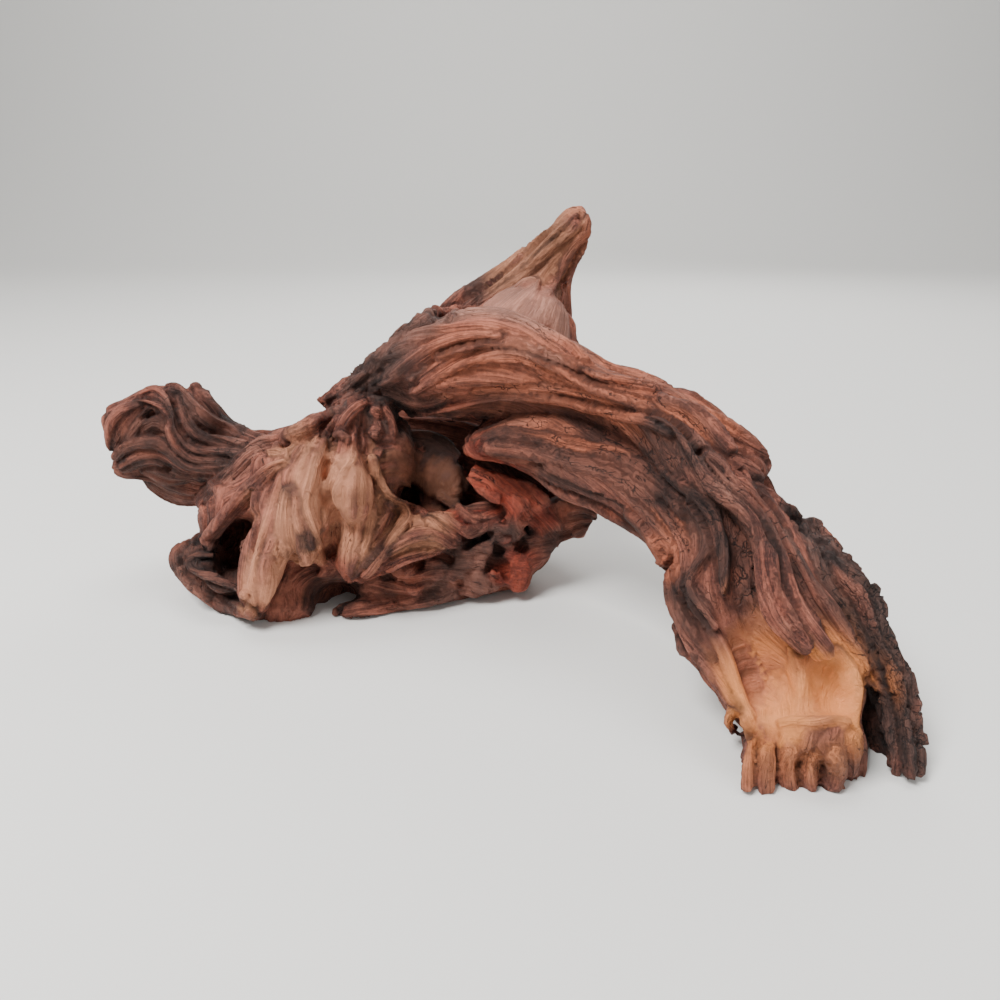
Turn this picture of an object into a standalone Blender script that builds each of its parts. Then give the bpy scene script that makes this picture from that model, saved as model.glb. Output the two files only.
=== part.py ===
"""A weathered driftwood sculpture: one piece of twisted root wood that rests on its foot and its belly."""

import math

import bmesh
import bpy
import numpy as np
from mathutils import Euler, Matrix, Vector
from mathutils.bvhtree import BVHTree
from mathutils.kdtree import KDTree

MM = 0.001

# The wood is laid out in mm from an eye 200 mm above the table: x to the right, y away from the eye, z up.
# A traced point is (a, b): mm to the right and up on a sight plane 780 mm in front of the tilted eye.
EYE = np.array([0.0, 0.0, 200.0])
EYE_TILT = math.radians(22.4)
SIGHT_PLANE = 780.0

# The middle of the wood's footprint box, which is the part's origin.
ORIGIN = np.array([-21.2, 323.5, 0.0])

# Each limb is a list of sections: one edge (a, b, y), the other edge (a, b, y), half its depth in mm.
LIMBS = {
    "arch": [
        ((-160, 111, 372), (-139, 100, 366), 8),
        ((-128, 128, 376), (-112, 100, 362), 18),
        ((-90, 154, 378), (-78, 90, 356), 26),
        ((-45, 170, 378), (-42, 88, 350), 32),
        ((5, 164, 374), (4, 98, 344), 33),
        ((58, 140, 358), (56, 92, 338), 31),
        ((108, 121, 343), (100, 78, 329), 29),
        ((160, 109, 325), (140, 52, 312), 28),
        ((214, 80, 307), (174, 8, 296), 25),
        ((260, 12, 290), (184, -42, 282), 24),
    ],
    "under_arch": [
        ((-18, 72, 350), (-12, 46, 350), 14),
        ((14, 86, 352), (12, 38, 350), 21),
        ((52, 90, 354), (46, 22, 348), 26),
        ((100, 84, 344), (76, 4, 340), 29),
        ((145, 62, 328), (104, -5, 330), 28),
        ((196, 36, 308), (148, -36, 306), 26),
        ((240, -10, 290), (168, -68, 288), 24),
    ],
    "leg": [
        ((256, 30, 292), (179, -50, 286), 24),
        ((280, -8, 284), (169, -92, 272), 23),
        ((312, -50, 270), (179, -128, 260), 20),
        ((338, -100, 258), (207, -164, 249), 16),
        ((356, -150, 249), (231, -196, 239), 12),
        ((358, -195, 240), (246, -226, 231), 11),
        ((356, -232, 231), (254, -244, 226), 11),
    ],
    "foot": [
        ((358, -221, 229), (264, -224, 229), 13),
        ((362, -246, 233), (245, -246, 231), 17),
        ((361, -268, 236), (242, -268, 231), 17),
        ((356, -290, 238), (242, -290, 231), 17),
    ],
    "fin": [
        ((284, -32, 284), (312, -46, 284), 12),
        ((304, -84, 270), (354, -78, 270), 16),
        ((335, -125, 258), (378, -122, 258), 16),
        ((358, -165, 248), (396, -166, 248), 13),
        ((376, -205, 240), (411, -208, 240), 10),
        ((386, -240, 229), (416, -244, 229), 6),
        ((390, -266, 222), (416, -270, 222), 5),
    ],
    "fin_web": [
        ((348, -160, 258), (388, -160, 258), 7),
        ((356, -205, 248), (396, -208, 248), 6),
        ((366, -236, 240), (394, -240, 240), 4),
        ((383, -262, 232), (394, -264, 232), 3),
    ],
    "mound": [
        ((-45, 150, 374), (72, 128, 374), 31),
        ((-28, 178, 378), (73, 153, 378), 29),
        ((-8, 195, 382), (70, 174, 382), 24),
        ((12, 204, 386), (55, 193, 386), 15),
    ],
    "horn": [
        ((-80, 170, 404), (75, 148, 402), 21),
        ((-44, 198, 402), (71, 181, 400), 18),
        ((-6, 226, 399), (69, 206, 398), 14),
        ((25, 253, 396), (75, 228, 395), 11),
        ((45, 273, 392), (87, 250, 392), 8),
        ((61, 286, 390), (94, 270, 390), 6),
        ((72, 288, 389), (93, 281, 389), 4),
    ],
    "fan": [
        ((-166, 94, 360), (-112, 92, 352), 9),
        ((-186, 78, 368), (-92, 58, 352), 20),
        ((-226, 58, 376), (-90, 20, 352), 28),
        ((-262, 28, 378), (-84, -15, 352), 33),
        ((-292, -6, 374), (-78, -45, 350), 33),
        ((-286, -40, 368), (-86, -68, 350), 30),
        ((-286, -72, 359), (-120, -82, 346), 20),
        ((-276, -91, 350), (-176, -90, 341), 13),
        ((-250, -113, 335), (-187, -111, 333), 8),
    ],
    "basin": [
        ((-312, -56, 364), (-268, -55, 364), 13),
        ((-321, -68, 358), (-240, -66, 355), 20),
        ((-308, -84, 350), (-222, -88, 347), 20),
        ((-286, -101, 344), (-206, -106, 341), 14),
        ((-262, -115, 336), (-196, -116, 333), 9),
    ],
    "bowl": [
        ((-118, 6, 366), (-138, -104, 345), 13),
        ((-70, 0, 371), (-90, -104, 345), 17),
        ((-22, -2, 378), (-26, -97, 356), 17),
        ((20, -4, 378), (18, -87, 360), 17),
        ((47, 0, 376), (37, -59, 364), 18),
        ((84, -2, 374), (76, -30, 368), 10),
    ],
    "arm": [
        ((-190, 74, 382), (-206, 10, 382), 24),
        ((-230, 67, 384), (-250, 14, 384), 20),
        ((-270, 72, 386), (-284, 18, 386), 17),
        ((-292, 100, 386), (-304, 22, 386), 16),
        ((-318, 112, 384), (-332, 18, 384), 14),
        ((-352, 110, 381), (-357, 26, 381), 11),
        ((-373, 101, 378), (-379, 29, 378), 7),
        ((-391, 91, 376), (-388, 55, 376), 4),
    ],
    "leaf": [
        ((-355, 32, 394), (-355, 24, 394), 5),
        ((-345, 38, 394), (-342, 10, 394), 9),
        ((-324, 40, 394), (-321, -1, 394), 11),
        ((-300, 40, 394), (-298, -3, 394), 12),
        ((-270, 40, 392), (-272, -8, 392), 13),
        ((-230, 40, 388), (-228, 0, 388), 14),
    ],
    "slab": [
        ((-31, 25, 358), (-31, 20, 357), 3),
        ((-20, 31, 358), (-20, 12, 355), 4),
        ((-2, 25, 358), (-8, 2, 354), 5),
        ((20, 17, 357), (10, -10, 352), 6),
        ((36, 8, 356), (26, -24, 352), 6),
        ((46, -6, 357), (40, -32, 353), 5),
        ((58, -16, 359), (51, -35, 356), 4),
    ],
    "cavity_back": [
        ((-292, -4, 388), (-232, -2, 396), 8),
        ((-295, -34, 380), (-232, -34, 390), 10),
        ((-298, -62, 370), (-234, -64, 380), 10),
    ],
    "front": [
        ((-244, 34, 344), (-200, 50, 340), 7),
        ((-244, 8, 336), (-192, 12, 331), 9),
        ((-246, -22, 331), (-196, -18, 326), 10),
        ((-252, -56, 327), (-206, -48, 322), 10),
        ((-256, -88, 324), (-222, -78, 321), 8),
        ((-252, -112, 323), (-237, -104, 321), 5),
    ],
    "tongue": [
        ((-206, 64, 350), (-176, 72, 348), 6),
        ((-212, 36, 340), (-174, 44, 336), 8),
        ((-214, 8, 331), (-174, 14, 328), 9),
        ((-214, -22, 325), (-176, -16, 324), 9),
        ((-208, -46, 321), (-178, -40, 322), 7),
        ((-200, -61, 321), (-185, -57, 322), 4),
    ],
    "lobe": [
        ((-156, 98, 352), (-138, 96, 350), 5),
        ((-160, 78, 345), (-144, 76, 342), 6),
        ((-163, 54, 338), (-142, 52, 335), 7),
        ((-166, 28, 331), (-134, 30, 328), 8),
        ((-168, 9, 326), (-128, 10, 324), 9),
        ((-163, -7, 324), (-131, -8, 323), 8),
        ((-154, -14, 325), (-139, -14, 324), 5),
    ],
    "hang": [
        ((-158, 2, 341), (-104, 8, 343), 10),
        ((-159, -26, 338), (-108, -16, 336), 11),
        ((-161, -50, 334), (-120, -44, 331), 10),
        ((-161, -67, 330), (-136, -65, 328), 8),
        ((-157, -77, 329), (-145, -77, 328), 4),
    ],
    "sill": [
        ((-152, -60, 331), (-147, -79, 330), 6),
        ((-124, -32, 336), (-124, -73, 330), 9),
        ((-88, -16, 345), (-92, -61, 334), 10),
        ((-54, -10, 350), (-60, -50, 340), 9),
        ((-24, -5, 355), (-28, -36, 346), 7),
        ((4, -4, 358), (0, -22, 352), 4),
    ],
    "bowl_back": [
        ((-122, 90, 398), (-130, -30, 380), 15),
        ((-72, 88, 403), (-84, -30, 388), 15),
        ((-22, 88, 405), (-24, -30, 390), 17),
        ((26, 70, 401), (24, -30, 388), 18),
        ((66, 36, 389), (54, -30, 377), 14),
    ],
    "dish": [
        ((-128, 62, 358), (-122, -2, 350), 7),
        ((-100, 66, 372), (-96, 2, 362), 7),
        ((-70, 62, 375), (-68, -2, 364), 7),
        ((-44, 46, 368), (-42, -6, 358), 6),
    ],
    "low_splinter": [
        ((-161, -109, 337), (-160, -116, 334), 3),
        ((-142, -98, 340), (-140, -119, 333), 6),
        ((-110, -92, 344), (-108, -110, 344), 8),
        ((-70, -88, 346), (-68, -103, 346), 8),
        ((-45, -84, 348), (-44, -97, 348), 6),
    ],
    "splinter": [
        ((-180, 98, 373), (-179, 95, 373), 2),
        ((-167, 107, 373), (-164, 97, 371), 5),
        ((-148, 121, 374), (-146, 101, 371), 9),
        ((-129, 134, 376), (-126, 102, 369), 14),
    ],
    "fold": [
        ((180, 88, 302), (160, 70, 299), 6),
        ((206, 64, 297), (182, 46, 294), 8),
        ((229, 34, 290), (204, 20, 286), 9),
        ((250, 4, 284), (226, -8, 279), 10),
        ((271, -30, 276), (247, -38, 270), 10),
        ((289, -66, 267), (262, -68, 261), 10),
        ((302, -100, 258), (268, -100, 251), 10),
        ((317, -128, 249), (280, -132, 242), 9),
        ((324, -148, 242), (297, -152, 236), 6),
    ],
    "inner_ridge": [
        ((184, -56, 274), (173, -66, 271), 6),
        ((194, -98, 263), (178, -106, 259), 8),
        ((214, -138, 253), (194, -148, 248), 9),
        ((236, -172, 243), (217, -182, 239), 9),
        ((256, -204, 234), (237, -211, 230), 8),
    ],
    "right_facet": [
        ((352, -128, 253), (306, -140, 247), 9),
        ((363, -165, 246), (305, -170, 239), 10),
        ((363, -200, 238), (304, -205, 232), 9),
        ((358, -224, 231), (298, -226, 227), 7),
    ],
    "shoulder": [
        ((196, 98, 304), (190, 62, 300), 7),
        ((223, 77, 300), (220, 44, 294), 9),
        ((247, 56, 296), (243, 26, 290), 8),
        ((259, 46, 294), (256, 22, 290), 5),
    ],
    "foot_ledge": [
        ((360, -223, 222), (284, -226, 222), 7),
        ((362, -234, 221), (280, -236, 221), 8),
        ((361, -250, 222), (278, -252, 222), 7),
    ],
    "heel": [
        ((-150, 40, 400), (-10, 40, 400), 30),
        ((-142, 8, 410), (-30, 8, 410), 25),
        ((-118, -12, 418), (-56, -12, 418), 16),
        ((-102, -36, 426), (-72, -36, 426), 9),
    ],
}
LIMB_SIDES = 32
LIMB_STEPS = 5
# How a limb's end closes: (distance out, size), in parts of its half depth and of its last section.
ROUND_END = ((0.45, 0.9), (0.8, 0.62), (0.97, 0.3))
END_REACH = 0.6

# Strands lie on the limbs as the eye sees them. Each point is (a, b, radius), all on the sight plane.
STRANDS = {
    "arm_tab_left": [(-304, 114, 6), (-297, 104, 6), (-289, 92, 6), (-277, 79, 5), (-255, 68, 5)],
    "arm_tab_right": [
        (-294, 111, 4), (-290, 100, 4), (-284, 88, 4), (-276, 78, 4), (-264, 72, 4), (-248, 65, 4.5),
        (-225, 58, 5),
    ],
    "arm_ridge_1": [
        (-334, 114, 4), (-325, 114, 5), (-316, 107, 6), (-309, 95, 6), (-300, 86, 6), (-290, 79, 5),
        (-276, 73, 5), (-258, 66, 5), (-235, 58, 5),
    ],
    "arm_ridge_2": [
        (-321, 106, 4), (-316, 92, 5), (-312, 78, 6), (-303, 67, 6), (-291, 61, 6), (-274, 58, 6),
        (-252, 54, 6),
    ],
    "arm_ridge_3": [
        (-370, 97, 3), (-356, 108, 4), (-343, 110, 5), (-333, 99, 5), (-327, 86, 5), (-323, 72, 5),
        (-317, 60, 5), (-306, 52, 5), (-291, 49, 5), (-272, 48, 5), (-250, 46, 5),
    ],
    "arm_ridge_4": [
        (-371, 96, 3), (-357, 99, 4), (-346, 95, 4), (-337, 88, 4), (-332, 79, 4), (-330, 69, 5),
        (-325, 58, 5),
        (-317, 50, 5), (-307, 43, 5), (-294, 40, 5), (-275, 39, 5),
    ],
    "arm_flap_1": [
        (-357, 99, 4), (-368, 95, 6), (-380, 89, 7), (-388, 78, 7), (-390, 64, 6), (-391, 53, 4),
        (-392, 48, 2),
    ],
    "arm_flap_2": [
        (-352, 96, 4), (-364, 88, 6), (-374, 76, 7), (-380, 65, 7), (-384, 58, 5), (-388, 52, 3),
    ],
    "arm_flap_3": [(-346, 92, 4), (-356, 84, 5), (-364, 73, 5), (-371, 64, 5), (-377, 59, 4)],
    "arm_eye": [(-366, 67, 3), (-357, 74, 4), (-348, 79, 4), (-339, 77, 4), (-334, 71, 3)],
    "arm_lip_1": [
        (-384, 41, 4), (-375, 50, 4.5), (-363, 55, 5), (-345, 56, 6), (-334, 49, 5), (-326, 42, 5),
        (-318, 36, 5),
        (-303, 32, 5), (-283, 33, 5), (-262, 34, 5),
    ],
    "arm_lip_2": [
        (-380, 36, 5), (-363, 43, 6), (-344, 45, 5), (-333, 40, 5), (-325, 34, 4), (-314, 29, 4),
        (-296, 27, 4), (-272, 28, 5),
    ],
    "arm_lip_3": [(-384, 37, 4), (-378, 30, 5), (-369, 32, 5), (-360, 35, 5), (-346, 38, 5), (-335, 33, 4)],
    "fan_back_ridge": [
        (-158, 90, 6), (-180, 79, 8), (-200, 67, 9), (-217, 59, 9), (-233, 54, 9), (-247, 45, 9),
        (-258, 34, 9),
        (-269, 23, 9), (-281, 13, 8), (-292, 5, 7), (-300, -3, 5),
    ],
    "fan_post_1": [(-291, 6, 6), (-290, -8, 5), (-289, -24, 5), (-290, -38, 4)],
    "fan_post_2": [(-279, 12, 5), (-280, -4, 5), (-282, -20, 5), (-286, -35, 4)],
    "fan_knobs": [
        (-213, 38, 5), (-226, 34, 6), (-238, 26, 7), (-248, 13, 7), (-257, 1, 7), (-266, -9, 6),
        (-275, -19, 6),
        (-284, -30, 6), (-291, -41, 6), (-290, -49, 4),
    ],
    "basin_rim": [
        (-285, -54, 4), (-293, -53, 5), (-305, -56, 5), (-312, -62, 5), (-306, -69, 5), (-294, -75, 5),
        (-281, -82, 5), (-268, -88, 5), (-256, -96, 5),
    ],
    "basin_wall": [
        (-318, -64, 6), (-312, -79, 7), (-297, -91, 7), (-278, -102, 7), (-258, -109, 7), (-240, -113, 6),
    ],
    "front_left": [
        (-215, 29, 5), (-222, 9, 5), (-227, -11, 5), (-236, -37, 5), (-244, -64, 5), (-250, -88, 4),
        (-246, -106, 3),
    ],
    "front_middle": [(-228, -40, 6), (-234, -60, 8), (-232, -78, 9), (-235, -94, 8), (-239, -108, 5)],
    "front_right": [(-209, 10, 7), (-211, -6, 9), (-212, -20, 10), (-211, -35, 10), (-207, -50, 8)],
    "front_edge": [(-206, -62, 4), (-212, -74, 5), (-220, -88, 5), (-228, -104, 5), (-234, -116, 4)],
    "tongue_left": [
        (-199, 49, 5), (-208, 32, 6), (-211, 16, 6), (-203, 0, 6), (-202, -15, 6), (-196, -32, 6),
        (-193, -48, 5),
    ],
    "tongue_middle": [
        (-173, 58, 5), (-179, 47, 7), (-186, 32, 8), (-190, 16, 9), (-193, -2, 8), (-188, -20, 8),
        (-180, -36, 6),
    ],
    "tongue_right": [(-164, 36, 4), (-167, 18, 6), (-173, 0, 7), (-177, -18, 7), (-180, -34, 5)],
    "knot_ring": [(-153, 66, 4), (-160, 69, 4), (-168, 63, 4), (-170, 52, 4), (-166, 42, 4), (-160, 38, 3)],
    "apex": [(-134, 99, 5), (-146, 93, 6), (-156, 83, 6), (-163, 72, 6), (-172, 62, 5)],
    "hang_left": [(-154, -13, 4), (-151, -26, 4), (-151, -40, 4), (-154, -58, 4), (-153, -75, 4)],
    "hang_middle": [
        (-112, -4, 4), (-100, -6, 4), (-99, -18, 4), (-108, -27, 4.5), (-119, -38, 4.5), (-131, -55, 4.5),
        (-144, -72, 4),
    ],
    "hang_right": [(-136, -10, 4), (-141, -26, 4), (-143, -44, 4), (-146, -60, 4), (-150, -75, 3)],
    "hub": [(-127, -8, 4), (-130, -24, 4), (-135, -42, 4), (-141, -58, 4), (-148, -74, 3)],
    "hole_rim": [
        (-128, 46, 4), (-123, 30, 5), (-116, 12, 5), (-106, 0, 5), (-97, -5, 5), (-94, -16, 5),
        (-101, -29, 5), (-114, -48, 5), (-130, -68, 5), (-142, -79, 4),
    ],
    "web": [(-97, -2, 5), (-86, -7, 5), (-74, -14, 5), (-64, -24, 5), (-52, -32, 4), (-38, -38, 4)],
    "sill_1": [
        (-133, -66, 4), (-115, -50, 5), (-97, -40, 5), (-80, -35, 5), (-64, -36, 5), (-44, -43, 5),
        (-18, -31, 5), (6, -10, 4),
    ],
    "sill_2": [
        (-142, -80, 4), (-118, -71, 5), (-98, -60, 5), (-78, -54, 5), (-58, -50, 5), (-40, -50, 5),
        (-20, -38, 4), (5, -18, 4),
    ],
    "sill_3": [(-120, -60, 3), (-102, -48, 4), (-84, -43, 4), (-66, -42, 4), (-50, -46, 4)],
    "ridge_1": [(-62, 5, 4), (-50, -2, 4), (-38, -10, 5), (-27, -18, 4), (-14, -16, 4), (1, -10, 4)],
    "ridge_2": [(-72, -14, 4), (-58, -18, 5), (-46, -26, 5), (-33, -32, 5), (-20, -28, 5), (-5, -20, 4)],
    "curl_1": [(-119, 33, 2.2), (-108, 37, 2.2), (-97, 34, 2.2), (-86, 24, 2.2)],
    "curl_2": [(-116, 45, 2.2), (-104, 47, 2.2), (-92, 42, 2.2), (-82, 32, 2.2)],
    "curl_3": [(-60, 42, 2.4), (-70, 37, 2.4), (-77, 26, 2.4), (-78, 12, 2.4), (-74, 0, 2.4)],
    "curl_4": [(-48, 42, 2.6), (-59, 30, 2.6), (-64, 16, 2.6), (-62, 2, 2.6)],
    "curl_5": [(-121, 53, 2), (-108, 55, 2), (-95, 50, 2), (-84, 40, 2)],
    "curl_6": [(-121, 26, 2), (-108, 28, 2), (-96, 25, 2), (-85, 19, 2)],
    "curl_7": [(-120, 18, 2), (-107, 20, 2), (-96, 17, 2), (-88, 12, 2)],
    "curl_8": [(-36, 34, 2.6), (-46, 20, 2.6), (-51, 6, 2.6), (-48, -6, 2.6)],
    "curl_9": [(-68, 52, 2), (-74, 40, 2), (-77, 30, 2)],
    "knot_top": [(-127, 90, 5), (-119, 87, 5)],
    "knot_middle": [(-128, 68, 5), (-121, 66, 5)],
    "knot_low": [(-123, 48, 6), (-117, 46, 5)],
    "knot_side": [(-112, 90, 4), (-107, 78, 4), (-106, 64, 4)],
    "bottom_splinter": [
        (-158, -113, 4), (-142, -110, 5), (-124, -109, 6), (-104, -106, 6), (-84, -103, 6), (-64, -99, 5),
        (-48, -94, 4),
    ],
    "splinter_tip": [(-176, 96, 2), (-166, 100, 4), (-152, 106, 5), (-136, 114, 6), (-120, 122, 6)],
    "splinter_top": [(-174, 99, 2), (-163, 106, 4), (-149, 115, 5), (-137, 125, 5), (-127, 134, 6)],
    "bark_top": [
        (-133, 134, 5), (-122, 144, 6), (-109, 155, 7), (-97, 167, 7), (-84, 177, 7), (-70, 184, 7),
        (-54, 188, 6), (-40, 192, 5),
    ],
    "bark_middle": [
        (-130, 113, 6), (-112, 122, 7), (-96, 134, 7), (-78, 146, 7), (-60, 154, 7), (-40, 160, 6),
        (-20, 163, 5),
        (0, 162, 4),
    ],
    "arch_lobe": [(-118, 112, 5), (-105, 106, 7), (-92, 98, 8), (-78, 95, 8), (-64, 98, 7), (-54, 103, 5)],
    "orange_ridge": [
        (-84, 112, 5), (-72, 122, 6), (-58, 131, 7), (-40, 140, 7), (-20, 145, 7), (0, 147, 7),
        (22, 146, 7),
        (42, 139, 7), (62, 130, 7), (84, 118, 7), (106, 107, 7), (130, 98, 6), (152, 90, 5),
    ],
    "upper_ridge": [
        (-60, 147, 5), (-36, 153, 6), (-10, 157, 6), (16, 156, 6), (40, 150, 6), (62, 141, 5),
        (86, 129, 5), (110, 121, 5), (134, 114, 5),
    ],
    "lip_upper": [(-22, 111, 5), (10, 114, 6), (44, 112, 6), (76, 108, 6), (108, 99, 6), (134, 92, 5)],
    "lip": [
        (-90, 89, 5), (-70, 89, 5), (-48, 93, 5), (-22, 100, 5), (8, 103, 5), (40, 100, 5), (72, 96, 5),
        (104, 89, 5), (130, 84, 5), (150, 79, 5), (168, 69, 5),
    ],
    "under_1": [
        (-13, 62, 4), (4, 68, 5), (28, 66, 5), (56, 60, 5), (84, 54, 5), (114, 46, 5), (140, 34, 5),
        (160, 20, 5),
        (178, 4, 5),
    ],
    "under_2": [
        (-11, 53, 4), (8, 52, 5), (32, 48, 5), (58, 42, 5), (86, 34, 5), (112, 24, 5), (136, 10, 5),
        (156, -6, 5),
        (172, -26, 5),
    ],
    "under_3": [
        (18, 36, 4), (42, 29, 5), (66, 18, 5), (88, 8, 5), (110, -2, 5), (130, -16, 5), (148, -34, 5),
        (160, -52, 5),
    ],
    "horn_left": [
        (-50, 184, 4), (-30, 195, 5), (-8, 210, 5), (13, 226, 5), (31, 243, 5), (47, 258, 5),
        (62, 273, 5), (73, 284, 4), (81, 288, 3),
    ],
    "horn_middle": [
        (-20, 196, 4), (0, 210, 5), (18, 224, 5), (36, 240, 5), (52, 256, 5), (66, 270, 5), (76, 282, 4),
    ],
    "horn_right": [
        (48, 206, 4), (60, 224, 5), (68, 240, 5), (78, 256, 5), (87, 267, 5), (88, 280, 5), (84, 289, 4),
    ],
    "tip_back": [
        (84, 128, 4), (101, 121, 5), (122, 117, 6), (144, 112, 6), (163, 106, 6), (182, 97, 6),
        (201, 86, 7), (219, 76, 7), (235, 66, 7), (248, 56, 7), (258, 48, 6), (264, 43, 4),
    ],
    "tip_middle": [(158, 100, 5), (180, 90, 7), (198, 80, 8), (212, 68, 8), (224, 57, 6), (234, 48, 3)],
    "tip_low": [(232, 46, 4), (244, 37, 6), (254, 28, 6), (261, 21, 4)],
    "tip_side": [(252, 40, 3), (258, 33, 4), (262, 24, 3)],
    "leg_ridge_1": [
        (150, 84, 4), (162, 80, 5), (174, 71, 5), (183, 61, 5), (189, 51, 5), (195, 40, 5), (202, 27, 6),
        (210, 16, 7), (221, 6, 8), (235, -6, 8), (246, -18, 9), (256, -34, 9), (262, -52, 10),
        (266, -74, 11), (270, -96, 12), (278, -114, 13), (290, -130, 12), (302, -144, 9), (310, -153, 5),
    ],
    "leg_ridge_2": [
        (204, 46, 5), (217, 36, 6), (226, 22, 6), (238, 8, 6), (248, -6, 7), (259, -22, 7), (268, -40, 7),
        (277, -60, 8),
        (284, -82, 8), (291, -102, 9), (301, -120, 10), (313, -138, 10), (324, -155, 9),
    ],
    "leg_ridge_3": [
        (240, 22, 5), (250, 12, 6), (262, -4, 7), (273, -18, 7), (283, -37, 7), (292, -56, 7),
        (302, -76, 7),
        (312, -94, 8), (324, -110, 9), (336, -128, 9), (348, -146, 8), (360, -160, 7), (367, -174, 5),
    ],
    "outer_edge": [
        (258, 17, 4), (271, 7, 6), (285, -5, 7), (297, -20, 6), (309, -37, 6), (327, -55, 6),
        (347, -72, 7), (366, -87, 7), (380, -105, 7), (383, -130, 6), (393, -150, 7), (405, -170, 6),
        (411, -198, 6), (417, -224, 6), (419, -250, 6), (420, -277, 4),
    ],
    "fin_inner": [
        (298, -26, 5), (310, -46, 6), (320, -68, 7), (330, -88, 7), (344, -106, 7), (356, -124, 7),
        (366, -144, 7),
        (376, -166, 7), (384, -190, 7), (389, -214, 7), (391, -238, 6), (393, -258, 5), (393, -275, 4),
    ],
    "fin_middle": [
        (318, -46, 6), (332, -62, 7), (345, -80, 7), (358, -94, 7), (366, -114, 7), (374, -134, 7),
        (385, -156, 7),
        (394, -180, 7), (400, -204, 7), (405, -228, 6), (409, -250, 6), (413, -273, 4),
    ],
    "fissure_edge": [
        (160, 30, 4), (178, 16, 5), (192, 4, 6), (203, -9, 7), (212, -22, 8), (218, -38, 8),
        (222, -56, 8), (223, -74, 7), (222, -90, 5), (223, -98, 3),
    ],
    "inner_1": [
        (188, -2, 5), (200, -18, 6), (206, -34, 6), (205, -50, 6), (197, -64, 6), (189, -76, 5),
        (188, -88, 5),
        (195, -100, 5), (206, -114, 5), (218, -130, 5),
    ],
    "inner_2": [(158, -6, 5), (171, -22, 6), (181, -38, 6), (185, -56, 6), (181, -74, 5), (178, -90, 5)],
    "inner_3": [(128, -14, 5), (144, -30, 5), (157, -47, 6), (167, -64, 5)],
    "inner_edge": [
        (168, -66, 5), (170, -86, 6), (176, -106, 7), (186, -127, 7), (198, -149, 7), (212, -169, 7),
        (226, -190, 7), (238, -208, 6),
    ],
    "scoop_edge": [
        (182, -74, 5), (192, -94, 6), (205, -114, 6), (217, -134, 6), (226, -154, 6), (233, -176, 6),
        (240, -197, 6), (250, -219, 6), (260, -240, 6), (268, -262, 5),
    ],
    "leg_right": [(340, -150, 6), (350, -168, 7), (357, -188, 7), (357, -208, 6), (354, -224, 6)],
    "toe_1": [(251, -238, 6), (248, -262, 7), (248, -291, 7)],
    "toe_2": [(268, -246, 5), (265, -270, 8), (266, -291, 8)],
    "toe_3": [(290, -250, 5), (286, -272, 9), (289, -292, 9)],
    "toe_4": [(312, -258, 5), (311, -276, 8), (314, -290, 6)],
    "toe_5": [(352, -236, 5), (354, -258, 6), (350, -280, 5)],
    "foot_knob": [(237, -208, 5), (230, -214, 6), (228, -224, 6), (233, -232, 5)],
    "lobe_4": [(-145, 30, 2), (-148, 12, 3), (-148, -14, 3)],
    "lobe_5": [(-138, 28, 2), (-138, 10, 3), (-139, -16, 3)],
    "lobe_1": [
        (-143, 84, 3), (-144, 64, 3), (-149, 42, 3), (-158, 22, 3.5), (-164, 8, 3.5), (-163, -4, 3),
    ],
    "lobe_2": [
        (-133, 90, 3), (-131, 66, 3), (-128, 44, 3), (-122, 27, 3.5), (-117, 10, 3.5), (-122, -10, 3),
    ],
    "lobe_3": [(-150, 30, 2), (-155, 10, 3), (-156, -10, 3)],
    "toe_6": [(334, -252, 5), (336, -270, 7), (332, -284, 5)],
    "foot_ledge": [(276, -224, 4), (292, -220, 5), (316, -221, 5), (338, -218, 4), (352, -222, 4)],
    "fan_strand_1": [(-196, -36, 5), (-194, -50, 6), (-191, -60, 4)],
    "lobe_6": [(-131, 26, 2), (-129, 8, 3), (-130, -14, 3)],
    "curl_10": [(-121, 39, 1.8), (-108, 42, 2), (-95, 38, 2), (-84, 28, 1.8)],
    "curl_11": [(-118, 61, 1.8), (-106, 62, 2), (-93, 57, 2), (-82, 47, 1.8)],
    "curl_12": [(-56, 46, 2), (-65, 34, 2.2), (-71, 20, 2.2), (-70, 6, 2)],
}
# How far, in mm, some strands stand out from the limbs towards the eye at their first and last point.
LIFTS = {
    "hole_rim": (2, 2), "sill_1": (1, 1),
    "sill_2": (1, 2), "ridge_1": (1, 2), "ridge_2": (1, 2), "fan_strand_1": (0, 2), "fan_knobs": (2, 3),
    "basin_rim": (1, 3), "lip": (2, 2), "leg_ridge_1": (2, 7), "leg_ridge_2": (1, 4),
    "tip_middle": (1, 4), "tip_low": (2, 2), "arm_ridge_1": (2, 0), "arm_ridge_3": (3, 0),
    "arm_ridge_4": (3, 0),
    "arm_lip_1": (3, 0), "arm_flap_1": (2, 2), "fissure_edge": (0, 3), "inner_1": (0, 2),
    "arm_eye": (-1, -1), "knot_top": (1, 1), "knot_middle": (1, 1), "knot_low": (1, 2),
    "foot_ledge": (2, 2), "toe_1": (4, 13), "toe_2": (3, 6),
}
STRAND_STEPS = 4
STRAND_SINK = 0.15
# Strands whose names start so are low ribs on the limbs, and have no bed pressed in around them.
LOW_STRANDS = (
    "front", "tongue", "fan_strand", "hang", "hub", "lobe", "curl", "orange", "upper", "lip_upper",
    "arch_lobe", "under",
    "horn", "scoop", "leg_right", "sill_3",
)
LOW_SINK = 0.72
STRAND_SWELL = 1.1
BED_REACH = 1.9
BED_DEPTH = 0.9
NEAREST_Y = 200.0
FARTHEST_Y = 430.0
SEARCH_STEP = 2.0

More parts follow.
